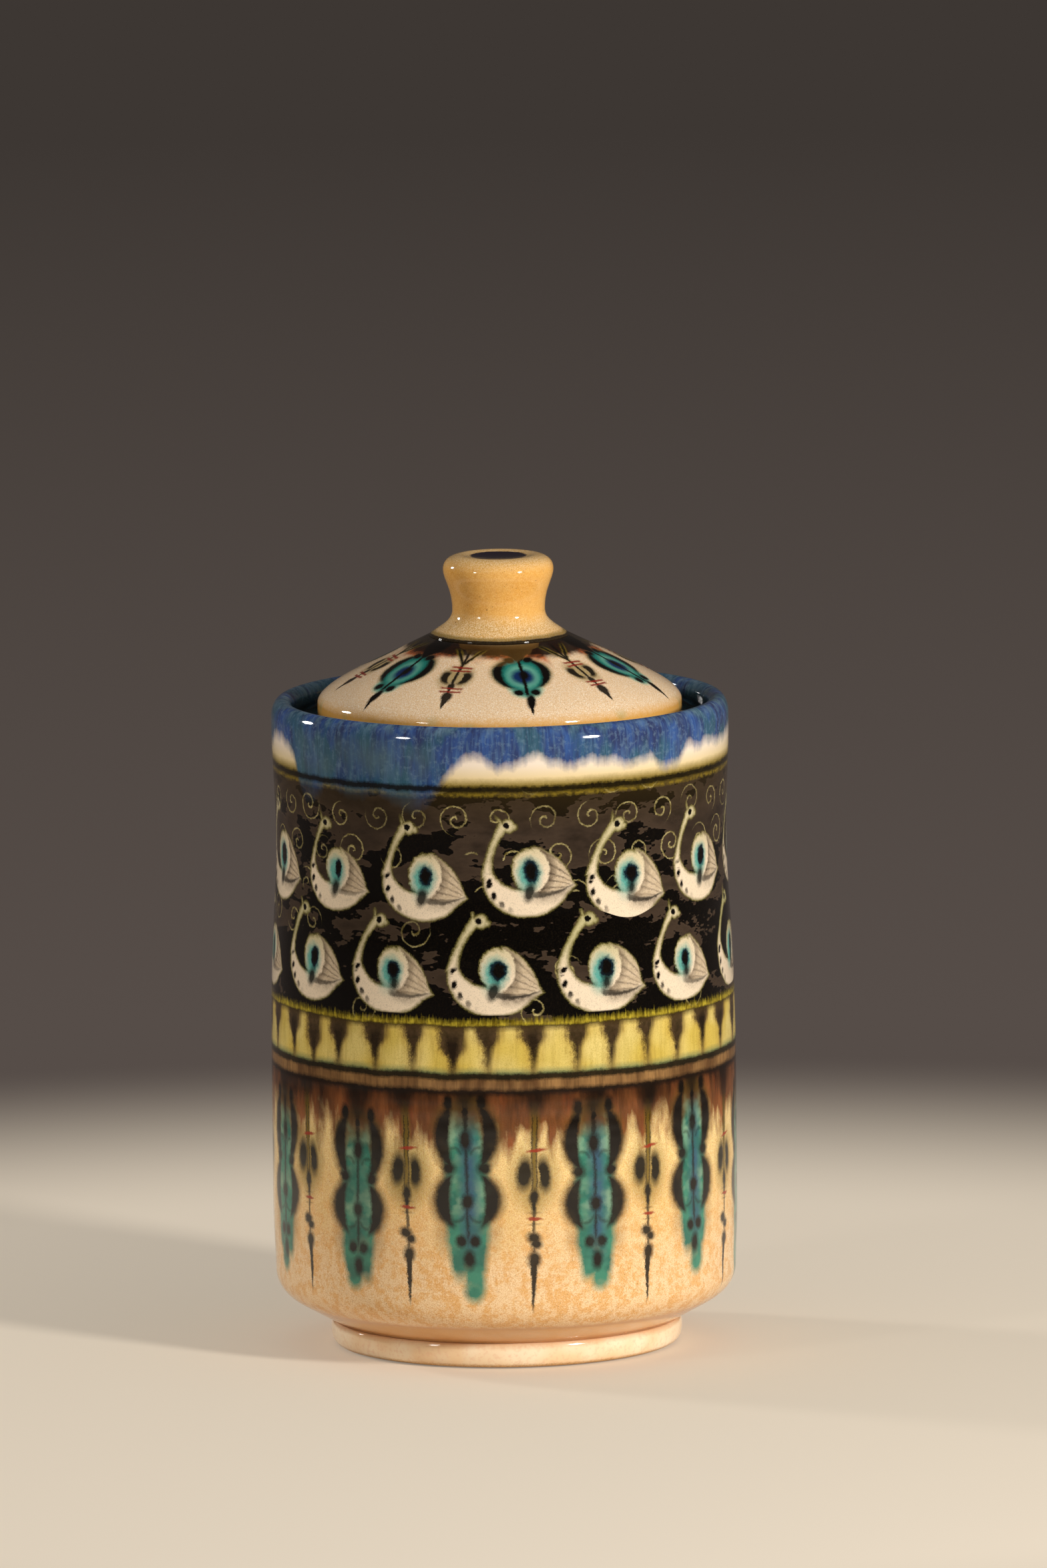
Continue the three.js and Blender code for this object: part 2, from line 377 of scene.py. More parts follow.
def group_bird():
    """A long-necked water bird in the dark ground: round breast, thick ring on the flank, swept wing."""
    r, given = new_group(
        "Painted bird", {"Colour": "colour", "Cover": "number"}, place=None, luck=None, bleed=0.5,
        slip=(230, 210, 182), grey_slip=(186, 164, 134), olive_slip=(170, 164, 110), fringe=(112, 104, 52),
        feather=(52, 36, 24), teal=(70, 156, 146), deep_blue=(12, 40, 52), ink=(8, 6, 5),
    )
    p = given.place
    bleed = given.bleed - 0.5
    u, v, _ = r.parts(p)
    luck_a, luck_b, luck_c = r.parts(given.luck)

    # outline
    belly = (r.oval(p, -0.6, -2, 11.8, 9.8) - 1) * 10.8
    hollow = 7.6 - r.vector("DISTANCE", p, (-2.4, 3.2, 0))
    breast = r.most(belly, hollow, v - 1.2, u - 4.4)
    out = (u - 3) * 0.805 + (v - 5.9) * 0.593
    along = (u - 7.2) * 0.593 - v * 0.805
    bulge = luck_a * 1.7 + 0.5
    wing = r.most(belly, out - bulge * (1 - along * along * 0.028), 1 - u, v - 5.7)
    tail = r.most(out - bulge * 0.2, (u - 7.3) * 0.6 - (v + 9) * 0.8, 6.4 - u)
    neck_line = v * (v * 0.0325 + 0.0887) - 10.95
    thin = v - 5.5
    neck_half = thin * thin * 0.018 + luck_c * 0.3 + 0.8
    neck = r.most((abs(u - neck_line) - neck_half) * 0.87, v + u * 0.25 - 11.3, -0.8 - v)
    head = r.vector("DISTANCE", p, (-4.3, 11.7, 0)) - 1.8
    beak = (r.oval(p, -2.9, 11.3, 1, 0.9) - 1) * 0.9
    crest = (r.oval(p, -6.2, 13, 0.4, 1.5, luck_b * 0.6) - 1) * 0.4
    eye = r.oval(p, 0, 0, luck_b * 0.6 + 4.3, 5.5) + bleed * 0.24
    ring = (eye - 1) * 5
    edge = r.least(breast, wing, tail, neck, head, beak, crest, ring)
    cover = r.ramp(edge, 0.3, -0.3)
    tinted = r.mix(r.ramp(v, -2, 6) * (luck_a * 0.7 + 0.2), given.slip, given.olive_slip)
    colour = r.mix(r.ramp(edge, 0, -1), given.fringe, tinted)

    # wing: greyed, with a few soft ribs that run to the tail
    above = v - (u - 4) * (u - 4) * 0.03 + 6.7
    behind = r.ramp(wing, 0.1, -0.8) * r.ramp(eye, 0.98, 1.1) * r.ramp(above, -0.2, 0.6)
    colour.lay(behind * (0.75 - bleed), given.grey_slip)
    colour.lay(behind * r.ramp(eye, 1.5, 1.08) * (luck_b * 0.4 + 0.4), given.feather)
    from_tail = r.vector("SUBTRACT", p, (13.6, -6.8, 0))
    tail_x, tail_y, _ = r.parts(from_tail)
    spread = r.math("ARCTAN2", tail_y, tail_x * -1) / 0.19
    rib = abs(r.math("FRACT", spread + r.vector("LENGTH", from_tail) * 0.07 + luck_b) - 0.5)
    rib_ink = r.ramp(rib, 0.24, 0.04) * r.ramp(bleed, -0.12, 0.1, 0.5, 1)
    colour.lay(rib_ink * behind * (luck_b * 0.3 + 0.45), given.feather)
    shade = r.ramp(above, -3, -0.2) * r.between(u, 0.4, 10, 1.6) * r.ramp(above, 0.4, 0)
    colour.lay(shade * (luck_c * 0.7 + bleed), given.feather)

    # ring: teal runs out of the dark pupil, mostly downwards
    bloom = r.oval(p, -0.3, -0.9, 4.2, 5) + bleed * 0.3
    colour.lay(r.ramp(bloom, 1, 0.5) * 0.9, given.teal)
    colour.lay(r.blob(p, -1.2, -4, 1.9, 2.3, 0.8) * luck_a * 0.9, given.teal)
    pupil = r.oval(p, luck_a * 0.8 - 0.1, -0.3, luck_c + 1, luck_b * 0.8 + 2) + bleed * 0.7
    colour.lay(r.ramp(pupil, 1.4, 0.95), given.deep_blue)
    colour.lay(r.ramp(pupil, 1.05, 0.65), given.ink)
    comma = r.blob(p, -0.8, -5.6, 1.4, 2.4, 0.4, -0.35) * r.ramp(luck_b, 0.36, 0.4)
    run_out = r.blob(p, 0.7, -3.8, 1.3, 2.2, 0.6) * r.ramp(luck_b, 0.4, 0.36)
    sweep = abs(above) - r.ramp(u, 0, 10.5, 0.8, 0.1)
    sweep = r.ramp(sweep, 0.3, -0.2) * r.between(u, -0.6, 11, 0.6) * (luck_c * 0.4 + 0.5)
    colour.lay(r.most(comma, run_out, sweep) * 0.94, given.ink)

    # drops down the breast and the bird's eye
    beat = r.math("FRACT", r.math("ARCTAN2", v + 2, u + 0.6) / math.radians(17) + luck_b) - 0.5
    dot = r.oval((beat * 3.4, belly + 1.4 - beat, 0), 0, 0, 0.95, 0.58) + bleed
    where = r.ramp(u, -4.4, -7) * r.ramp(v, 0.6, -0.4) * r.ramp(v, -11.5, -6, 0.3, 1)
    colour.lay(r.ramp(dot, 1.5, 0.7) * where, given.ink)
    gaze = r.vector("DISTANCE", p, (-4.8, 11.8, 0))
    colour.lay(r.ramp(gaze, 1, 0.65), given.ink)
    return r.ends("NodeGroupOutput", colour, cover)


def group_palmette():
    """A hanging double-lobed palmette: black brackets round a running turquoise heart that ends in a drip."""
    r, given = new_group(
        "Hanging palmette", {"Colour": "colour"}, place=None, luck=None, ground=(235, 195, 135),
        teal=(30, 104, 88), light_teal=(52, 130, 106), pale=(142, 172, 140), blue=(50, 78, 110),
        ink=(18, 12, 7), halo=(86, 62, 24),
    )
    luck_a, luck_b, luck_c = r.parts(given.luck)
    u, v, _ = r.parts(given.place)
    own = r.vector("MULTIPLY_ADD", given.luck, (60, 60, 60), given.place)
    blotch_a, blotch_b, blotch_c = r.parts(r.clouds(own, 0.2, 2, 0.5)[1])
    p = r.point(abs(u), v)

    # brown bloom round the brackets
    upper = r.oval(p, 0, 61, 7.9, 9.6)
    lower = r.oval(p, 0, 44.6, 8.1, 7.9)
    under = r.blob(p, 5.4, 36.6, 2.2, 5, 0.7) * 0.45
    halo = r.most(r.ramp(upper, 1.24, 0.96), r.ramp(lower, 1.26, 0.96), under)
    colour = r.mix(halo * (blotch_a + 0.34), given.ground, given.halo)

    # turquoise heart and its run
    long_end = luck_a * 10 + 13.5
    short_end = long_end + luck_c * 5 + 2.5
    side = luck_b * 2.4 - 1.2
    half = r.ramp(v, 56, 67, 5.2, 2.6) - r.ramp(v, 34, 15, 0.2, 2.6)
    heart = r.ramp(abs(u + blotch_c - 0.5) - half, 0.9, -0.9)
    heart = heart * r.ramp(v - blotch_a * 3, short_end - 4, short_end) * r.ramp(v, 66.5, 61)
    run = r.ramp(r.oval(r.point(u, r.most(0, long_end + 3 - v)), side, 0, 2.5, 3.2), 1.4, 0.6)
    run = run * r.ramp(v, 45, 40)
    teal = r.mix(r.ramp(blotch_b, 0.4, 0.62), given.teal, given.light_teal)
    colour.lay(r.most(heart, run) * r.ramp(blotch_c, 0.25, 0.45, 0.84, 0.98), teal)
    lobes = r.most(r.blob(p, 2.8, 60, 2.2, 4.6, 0.8), r.blob(p, 3, 44.8, 2.3, 4.6, 0.8))
    colour.lay(lobes * r.ramp(blotch_a, 0.44, 0.6) * 0.7, given.pale)
    core = r.ramp(abs(u - 0.6), 3.2, 0.5) * r.between(v, 32, 63, 5)
    core = core * r.ramp(luck_b, 0.4, 0.85, 0.1, 0.85) * r.ramp(blotch_b, 0.3, 0.55, 0.3, 1)
    colour.lay(core, given.blue)

    # brackets, inner curls, drops and spine
    bracket_up = r.ramp(upper, 1.06, 0.9) * r.ramp(r.oval(p, 0, 61, 3.9, 12.4), 0.9, 1.16)
    bracket_low = r.ramp(lower, 1.07, 0.9) * r.ramp(r.oval(p, 0, 45, 4.2, 9.6), 0.9, 1.14)
    curl_up = r.ramp(abs(r.vector("DISTANCE", p, (3, 56.4, 0)) - 1.7), 0.7, 0.1)
    curl_low = r.ramp(abs(r.vector("DISTANCE", p, (2.9, 41.6, 0)) - 2.4), 0.7, 0.1)
    curls = curl_up * r.ramp(v, 55.9, 56.6) + curl_low * r.ramp(v, 41.8, 41)
    spine_half = r.ramp(v, 58, 74, 0.34, 1)
    marks = r.most(
        bracket_up * r.ramp(abs(u), 1.9, 3),
        bracket_low * r.ramp(abs(u), 2.2, 3.4),
        curls * 0.5,
        r.blob(p, 4.1, 69.8, 1.3, 2.3, 0.4),
        r.blob(p, 4.4, 52.8, 1.7, 1.8, 0.45),
        r.blob(p, 0, 67.4, 0.9, 1.5, 0.4),
        r.blob(p, 0, 60.2, 1.5, 3, 0.45),
        r.blob(p, 0, 44.2, 1.5, 2.1, 0.4),
        r.blob(p, 1.6, 34.2, 1.4, 1.6, 0.4),
        r.blob(given.place, 0.2, 29.4, 1.4, 2.6, 0.45),
        r.ramp(abs(u) - spine_half, 0.45, -0.3) * r.ramp(v, 30, 36) * 0.85,
        r.ramp(abs(u) - r.ramp(v, 66, 74.5, 0.6, 3.2), 2.2, -0.9) * r.ramp(v, 60, 70) * 0.8,
    )
    colour.lay(marks * r.ramp(blotch_c, 0.3, 0.5, 0.94, 1), given.ink)
    return r.ends("NodeGroupOutput", colour)


def group_stem():
    """A thin hanging stem: paired leaves, beads, two red dashes and a needle tip."""
    r, given = new_group(
        "Hanging stem", {"Colour": "colour"}, place=None, luck=None, ground=(235, 195, 135),
        olive=(120, 98, 26), ink=(16, 11, 6), red=(150, 44, 22),
    )
    luck_a, luck_b, luck_c = r.parts(given.luck)
    whole = given.place
    u, v, _ = r.parts(whole)
    wide = abs(u)
    p = r.point(wide, v)
    halo = r.most(r.blob(p, 2, 53, 3.1, 6.2, 0.7), r.ramp(wide, 1.5, 0.4) * r.between(v, 53, 70, 2.5))
    colour = r.mix(halo * (luck_b * 0.3 + 0.64), given.ground, given.olive)
    colour.lay(r.blob(p, 0, 46.6, 1.9, 4, 0.6) * 0.4, given.olive)
    glow = r.ramp(wide, 0.7, 0.2) * r.between(v, 48, 66, 2)
    colour.lay(glow * 0.8, 112, 88, 16)
    veins = r.ramp(abs(wide - 0.55), 0.36, 0.05) * r.between(v, 47, 70, 2) * 0.8
    stalk = r.ramp(wide, 0.6, 0.2) * r.between(v, 29, 48, 1) * 0.85
    root = r.ramp(wide - r.ramp(v, 67, 74.5, 0.2, 2.4, smooth=True), 2, -0.6) * r.ramp(v, 60, 71) * 0.8
    needle = r.ramp(wide - r.ramp(v, 18, 31, 0.05, 0.8), 0.3, -0.1) * r.between(v, 18.5, 32, 1.2)
    right_leaf = r.blob(whole, 2.3, 53.4, 1.65, 4.2, 0.35, 0.06)
    right_leaf = right_leaf * r.ramp(r.oval(whole, 0.2, 53.2, 1.2, 3.4), 0.75, 1.05)
    marks = r.most(
        r.blob(whole, -2.4, 53.8, 1.9, 4.1, 0.35, -0.08),
        right_leaf,
        r.blob(p, 0, 47.6, 1.1, 2.2, 0.4),
        r.blob(p, 0, 45.6, 0.6, 2.8, 0.5),
        r.blob(whole, luck_c * 1.6 - 1, 37.2, 1.75, 1.5, 0.4, -0.4),
        r.blob(whole, 0.6, 35.6, 1.4, 1.3, 0.4),
        r.blob(whole, 0.1, 31.6, 1.6, 2.2, 0.4),
    )
    colour.lay(r.most(marks, veins, stalk, needle, root) * 0.97, given.ink)
    low = luck_a * 2.4 + 41.6
    hairs = r.ramp(r.least(abs(v - low - 1.5), abs(v - low + 1.4)), 0.35, 0.05)
    colour.lay(hairs * r.ramp(wide, 2.2, 0.6) * 0.45, given.ink)
    dashes = r.most(
        r.blob(whole, 0.5, 59.6, 2.3, 0.42, 0.35, 0.12),
        r.ramp(r.oval(r.point(u, v - low), 0.2, 0, 1.8, 0.42, -0.04), 1.3, 0.7),
    )
    colour.lay(dashes * 0.92, given.red)
    return r.ends("NodeGroupOutput", colour)


def group_lid_palmette():
    """A round palmette on the lid, hanging outwards from the black ring."""
    r, given = new_group(
        "Lid palmette", {"Colour": "colour"}, place=None, luck=None, ground=(220, 190, 155),
        light_teal=(112, 182, 158), teal=(30, 118, 106), blue=(14, 34, 88), ink=(12, 9, 7),
        halo=(112, 98, 44),
    )
    luck_a, luck_b, _ = r.parts(given.luck)
    whole = given.place
    u, v, _ = r.parts(whole)
    p = r.point(abs(u), v)
    outer = r.oval(p, 0, 31, 7.7, 6.4)
    inner = r.oval(p, 0, 31.4, 5, 6.1)
    colour = r.mix(r.ramp(outer, 1.16, 0.98) * 0.7, given.ground, given.halo)
    skirt = r.oval(p, 0, 37.2, 4.6, 3.6)
    colour.lay(r.ramp(skirt, 1.15, 0.7) * 0.85, given.light_teal)
    wash = r.most(r.ramp(outer, 1, 0.9), r.ramp(skirt, 0.95, 0.5) * 0.9)
    colour.lay(wash, given.teal)
    light = r.ramp(abs(r.oval(p, 0, 31.8, 3.7, 4.2) - 0.85), 0.45, 0)
    colour.lay(light * (luck_a * 0.3 + 0.65), given.light_teal)
    colour.lay(r.ramp(r.oval(p, luck_b * 0.8, 32, 2.7, 3), 1.3, 0.6) * 0.95, given.blue)
    bracket = r.ramp(outer, 1.05, 0.93) * r.ramp(inner, 0.92, 1.12) * r.ramp(abs(u), 1, 2.2)
    marks = r.most(
        bracket,
        r.blob(p, 2.4, 25.2, 1.5, 1.2, 0.35),
        r.blob(whole, luck_b * 0.8, 31.4, 1.2, 1.9, 0.35),
        r.blob(p, 2.2, 38.4, 1.35, 1.2, 0.3),
        r.blob(whole, 0.4, 41.6, 1.15, 2.5, 0.3, 0.15),
        r.ramp(abs(u - 0.3) - r.ramp(v, 42, 45.8, 0.8, 0.1), 0.2, -0.1) * r.between(v, 41.5, 45.6, 0.4),
        r.ramp(abs(u), 0.7, 0.25) * r.between(v, 21, 40, 1),
        r.ramp(abs(u) - r.ramp(v, 21, 26, 3.4, 0.5), 0.8, -0.3) * r.ramp(v, 27, 25),
    )
    colour.lay(marks, given.ink)
    return r.ends("NodeGroupOutput", colour)


def group_lid_stem():
    """A thin stem on the lid, with a leaf pair, red dashes and a drop."""
    r, given = new_group(
        "Lid stem", {"Colour": "colour"}, place=None, luck=None, ground=(220, 190, 155),
        olive=(132, 112, 34), ink=(14, 10, 7), red=(136, 34, 24),
    )
    whole = given.place
    u, v, _ = r.parts(whole)
    wide = abs(u)
    p = r.point(wide, v)
    fan = abs(wide - r.ramp(v, 27.6, 21, 0, 3.8))
    twigs = r.ramp(fan, 0.75, 0.25) * r.between(v, 21, 28, 0.6)
    colour = r.mix(r.blob(p, 1.9, 33, 2.7, 4, 0.4) * 0.65, given.ground, given.olive)
    colour.lay(r.ramp(fan, 1.3, 0.5) * r.between(v, 21.5, 29, 0.8) * 0.6, given.olive)
    marks = r.most(
        twigs,
        r.blob(p, 2.5, 33.2, 1.7, 2.6, 0.25, 0.35) * r.ramp(r.oval(p, 0.4, 33, 1.7, 2.4), 0.85, 1.05),
        r.ramp(wide, 0.6, 0.25) * r.between(v, 21, 41, 0.8),
        r.blob(p, 0, 36.6, 1, 1.4, 0.3),
        r.blob(whole, 0.1, 40.8, 1.5, 2, 0.25),
        r.ramp(wide - r.ramp(v, 41.5, 45, 1, 0.1), 0.25, -0.1) * r.between(v, 41, 45, 0.4),
    )
    colour.lay(marks * 0.97, given.ink)
    rows = r.least(abs(v - u * 0.06 - 28.8), abs(v - 30.2), abs(v - u * 0.05 - 37.4), abs(v - 38.8))
    dashes = r.ramp(rows, 0.48, 0.2) * r.ramp(abs(u - 0.4), 3.3, 2.6)
    colour.lay(dashes * 0.9, given.red)
    return r.ends("NodeGroupOutput", colour)


def tile(r, angle, count, centre, arc_radius):
    """Splits the turn into tiles; returns a tile's number, the arc from its middle, and the turn in tiles."""
    t = angle * (count / TURN) - centre
    whole = r.math("ROUND", t)
    arc = (t - whole) * (TURN * arc_radius / count)
    return r.math("FLOORED_MODULO", whole, count), arc, t


def jittered(r, luck, u, v, shift_u, shift_v, lean, swell):
    """Moves, leans and swells a tile's own motif a little, as a painter repeats it by eye."""
    at = r.vector("MULTIPLY_ADD", luck, (shift_u, shift_v, 0), (-shift_u / 2, -shift_v / 2, 0))
    _, b, c = r.parts(luck)
    size = (c - 0.5) * swell + 1
    return r.place((u, v, 0), at, (0, 0, (b - 0.5) * lean), (size, size, 1))


# Glazes and paint

# Heights of the painted lines and rows on the drum, and the gaps between rows, in millimetres
TAN_LINE, BAND_LINE, COLLAR_LINE = 74.4, 78.4, 152.4
UPPER_BIRDS, BIRD_GAP = 130.15, 23.9
UPPER_CURLS, CURL_GAP = 144.6, 10

# Repeats round the drum and the lid
ORNAMENTS, WEDGES, CURLS, BIRDS, LID_ORNAMENTS = 12, 35, 32, 13, 6

# Radii on which the arcs of the drum's motifs are measured, in millimetres
BELLY_ARC, FRIEZE_ARC = 60, 58.5


def full(colour):
    """A user's colour with its alpha, as a shader socket takes it."""
    return (*colour, 1)


def empty_material(name):
    """A new material without nodes, and its recipe."""
    material = bpy.data.materials.new(name)
    material.use_nodes = True
    material.node_tree.nodes.clear()
    return material, Recipe(material.node_tree)


def glaze_material(name, drift, bleed, grain):
    """A new material, its recipe, the place on the pot, and the wobbles of the brush, each in its parts."""
    material, r = empty_material(name)
    where = r.use("place", position=r.seen_from("Object"))
    wobbles = r.use("wobble", millimetres=where[0], drift=drift, bleed=bleed, grain=grain)
    return material, r, where, [r.parts(wobble) for wobble in wobbles]


def finish_material(material, r, colour, roughness, mm, wave, rings, peel):
    """Adds the glaze's own shader, its waves of a depth given in metres, and the output."""
    skin = r.use("skin", millimetres=mm, rings=rings, orange_peel=peel)
    raised = r.made_from(r.node("ShaderNodeBump"), {"Strength": 1, "Distance": wave, "Height": skin})
    glaze = {"Base Color": colour, "Roughness": roughness, "IOR": GLASS_IOR, "Normal": raised}
    shader = r.made_from(r.node("ShaderNodeBsdfPrincipled"), glaze)
    r.ends("ShaderNodeOutputMaterial", shader)
    return material


def painted_drum(paints):
    """Cream ground, hanging ornaments, rust wash, yellow band, dark frieze of birds and blue run glaze."""
    material, r, (mm, angle, height, radius), wobbles = glaze_material("drum painting", 0.22, 0.18, 0.12)
    (stray_u, stray_v, _), (slow_a, slow_b, slow_c), (quick_a, quick_b, quick_c), fine = wobbles
    fine_a, fine_b, _ = fine
    z = height + stray_v
    streaks = r.clouds((angle * 12, height * 0.05, radius * 0.02), 1, 3, 0.6)[1]
    streak, streak_b, streak_c = r.parts(streaks)
    hair_a, hair_b, _ = r.parts(r.clouds((angle * 80, height * 0.16, radius * 0.1), 1, 2, 0.6)[1])

    # ground: warm buff with fine grain, turning pinkish with small ochre patches towards the foot
    low = r.ramp(height + (slow_a - 0.5) * 20, 46, 26)
    colour = r.mix(low, full(paints.ground), full(paints.low_ground))
    map_like = r.clouds(mm, 0.34, 5, 0.72)[0]
    patches = r.ramp(map_like, 0.47, 0.56) * r.ramp(height + (slow_b - 0.5) * 20, 52, 28, 0.25, 1)
    colour.lay(patches * 0.75, 226, 166, 86)
    colour.lay(r.ramp(height + (slow_c - 0.5) * 12, 40, 60) * 0.48, 246, 226, 160)
    colour.lay(r.ramp(fine_a, 0.46, 0.6) * 0.5, 206, 142, 76)
    colour.lay(r.ramp(fine_b, 0.55, 0.64) * 0.4, 252, 228, 188)
    speck = r.use("speckle", millimetres=mm, spacing=0.55, share=0.34, speck=0.28)
    colour.lay(speck * 0.45, 140, 88, 42)

    # rust wash under the lower lines, ending in ragged runs
    rust_end = r.ramp(streak, 0.36, 0.66, 66.5, 55.5)
    rust = r.ramp(height + (quick_a - 0.5) * 2 - rust_end, -3.6, 4.2)
    rust_colour = r.mix(r.ramp(streak_b, 0.36, 0.64), full(paints.rust), (146, 78, 36))
    rust_colour.lay(r.ramp(streak, 0.58, 0.74) * 0.6, 164, 68, 24)
    rust_colour.lay(r.ramp(hair_a, 0.5, 0.7) * 0.35, 70, 34, 14)
    colour.lay(rust * 0.95, rust_colour)
    smoke = r.ramp(height + (streak_c - 0.5) * 22 + (hair_b - 0.5) * 2, 63.5, 75.5)
    colour.lay(smoke * 0.93, 30, 15, 7)

    # hanging ornaments, turn about
    warped = angle - r.math("SINE", angle + 0.14) * 0.055
    number, arc, _ = tile(r, warped, ORNAMENTS, -0.29, BELLY_ARC)
    luck = r.luck(number, 3.7, 1.3)
    spot = jittered(r, luck, arc + stray_u, z, 1.2, 2.4, 0.03, 0.05)
    teal, ink = full(paints.teal), full(paints.ink)
    colour = r.use("palmette", place=spot, luck=luck, ground=colour, teal=teal, ink=ink)
    number, arc, _ = tile(r, warped, ORNAMENTS, 0.2, BELLY_ARC)
    luck = r.luck(number, 8.1, 4.9)
    spot = jittered(r, luck, arc + stray_u, z, 1.6, 3, 0.04, 0.08)
    colour = r.use("stem", place=spot, luck=luck, ground=colour)

    # lower lines
    wet = (streak - 0.5) * 1.4
    tan = r.mix(r.ramp(streak_b, 0.36, 0.64), (152, 114, 70), (98, 68, 40))
    tan.lay(r.ramp(hair_b, 0.45, 0.65) * 0.4, 70, 50, 30)
    colour.lay(r.ramp(z, 74.2, 75), tan)
    colour.lay(r.ramp(abs(z + wet * 0.6 - TAN_LINE), 1.3, 0.1) * 0.92, 22, 13, 7)

    # yellow green band with dark wedges running down from its top
    band = r.mix(r.ramp(slow_a, 0.36, 0.62), full(paints.band), (224, 202, 124))
    band.lay(r.ramp(slow_b + (quick_b - 0.5) * 0.3, 0.44, 0.7) * 0.4, 188, 166, 74)
    band.lay(r.ramp(hair_b, 0.45, 0.68) * 0.25, 150, 124, 52)
    band.lay(r.ramp(fine_a, 0.5, 0.64) * 0.3, 170, 140, 48)
    band.lay(r.ramp(z, 81, 79.3) * 0.85, 110, 124, 84)
    number, arc, _ = tile(r, angle, WEDGES, -0.28, BELLY_ARC)
    luck = r.luck(number, 1.9, 6.2)
    wedge_a, wedge_b, wedge_c = r.parts(luck)
    off = abs(arc + stray_u * 1.6 + (wedge_a - 0.5) * 1.8)
    fall = r.ramp(height + (wedge_c - 0.5) * 2.4, 78.8, 90.8)
    head = r.ramp(fall + (wedge_c - 0.5) * 0.2, 0.4, 0.76, 0.8, wedge_b * 0.9 + 2.6, smooth=True)
    wedge_half = head * r.ramp(fall, 0, 0.45, 0.45, 1) + (quick_a - 0.5) * 1.2 + (hair_a - 0.5) * 1.6
    band.lay(r.ramp(off - wedge_half, 2.6, 0) * 0.4, 150, 112, 40)
    wedge = r.ramp(off - wedge_half, 1, -0.8) * r.ramp(fall, 0, 0.3, 0.6, 1)
    band.lay(wedge * 0.94, r.mix(r.ramp(quick_c, 0.35, 0.65), (72, 52, 38), (44, 31, 22)))
    heart = r.ramp(off - r.ramp(fall, 0.2, 0.8, 0.5, 1.6), 0.8, -0.5) * r.between(fall, 0.2, 0.9, 0.15)
    band.lay(heart * (wedge_b * 0.5 + 0.4), 24, 16, 9)
    band.lay(r.ramp(z, 89.8, 91.2) * 0.8, 56, 42, 18)
    colour.lay(r.ramp(z, 78.6, 79.1), band)
    colour.lay(r.ramp(abs(z + wet * 0.4 - BAND_LINE), 1.3, 0.5) * 0.93, 20, 20, 11)

    # dark ground of the frieze with scratched curls, and brown-grey patches of painted reflection laid on it
    wavy = r.clouds(r.vector("MULTIPLY", mm, (0.05, 0.05, 0.11)), 1, 4.5, 0.66)[0]
    crisp = wavy + r.ramp(height, 112, 144, -0.03, 0.09)
    # painted reflection: crisp brown-grey patches, more of them higher up, stand in for light mirrored in the
    # glaze
    painted_reflection = r.ramp(crisp, 0.535, 0.545) * r.ramp(crisp, 0.75, 0.56, 0.4, 1)
    dark = r.mix(painted_reflection * 0.9, full(paints.frieze), (66, 53, 42))
    dark.lay(r.ramp(height, 141, 150) * 0.5, 50, 38, 14)
    level = (height - UPPER_CURLS) / CURL_GAP
    row = r.math("ROUND", level)
    number, arc, _ = tile(r, angle + row * 0.07, CURLS, 0, FRIEZE_ARC)
    luck = r.luck(number, row, 5.5)
    curl = r.use("spiral", place=(arc + stray_u, (level - row) * CURL_GAP + stray_v, 0), luck=luck)
    shown = r.math("GREATER_THAN", r.parts(luck)[1] + r.ramp(height, 118, 138, 0, 0.8), 0.8)
    olive = r.mix(r.ramp(quick_b, 0.35, 0.6), (120, 106, 54), (186, 172, 118))
    dark.lay(curl * shown * r.ramp(slow_c, 0.35, 0.6, 0.5, 1), olive)

    # two staggered rows of birds
    drawn_out = angle + r.math("SINE", angle + 0.2) * 0.03
    _, _, t = tile(r, drawn_out, BIRDS, 0.28, FRIEZE_ARC)
    split = r.math("COSINE", t * TURN) * -1.7 + 119.3
    lower_row = r.math("LESS_THAN", height, split)
    t = t + lower_row * 0.32
    whole = r.math("ROUND", t)
    luck = r.luck(r.math("FLOORED_MODULO", whole, BIRDS), lower_row, 2.5)
    u = (t - whole) * (TURN * FRIEZE_ARC / BIRDS)
    v = height - UPPER_BIRDS + lower_row * BIRD_GAP
    spot = jittered(r, luck, u + stray_u, v + stray_v, 2, 2.8, 0.24, 0.12)
    plumage, cover = r.use("bird", place=spot, luck=luck, bleed=quick_c, slip=full(paints.slip))
    dark.lay(cover * r.between(height, 94.3, 148.6, 0.2), plumage)
    dark.lay(r.ramp(fine_b, 0.5, 0.75) * 0.25, 46, 36, 22)
    colour.lay(r.ramp(z, 91.9, 92.3), dark)
    tuft = hair_a + (quick_b - 0.5) * 0.6
    edge = r.ramp(z, 91, 91.6) * r.ramp(z - r.ramp(tuft, 0.35, 0.75, 92.2, 93.8), 0.9, -0.9)
    gold = r.mix(r.ramp(hair_b + (quick_a - 0.5) * 0.5, 0.36, 0.66), (118, 100, 20), (188, 168, 50))
    gold.lay(r.ramp(z, 91.8, 91.2), 54, 44, 14)
    gold.lay(r.ramp(z, 92.4, 93.6) * 0.6, 90, 78, 22)
    colour.lay(edge * 0.88, gold)

    # collar: cream ground, black line between olive edges
    collar = r.mix(r.ramp(height, 159, 153.7), full(paints.collar), (216, 190, 124))
    collar.lay(r.ramp(z, 155.6, 153.4) * 0.9, 104, 86, 20)
    gilt = r.ramp(z + wet * 0.4, 150.2, 151) * r.ramp(quick_b, 0.4, 0.58, 0.3, 0.85)
    colour.lay(gilt, 124, 104, 30)
    colour.lay(r.ramp(z, 152.9, 153.5), collar)

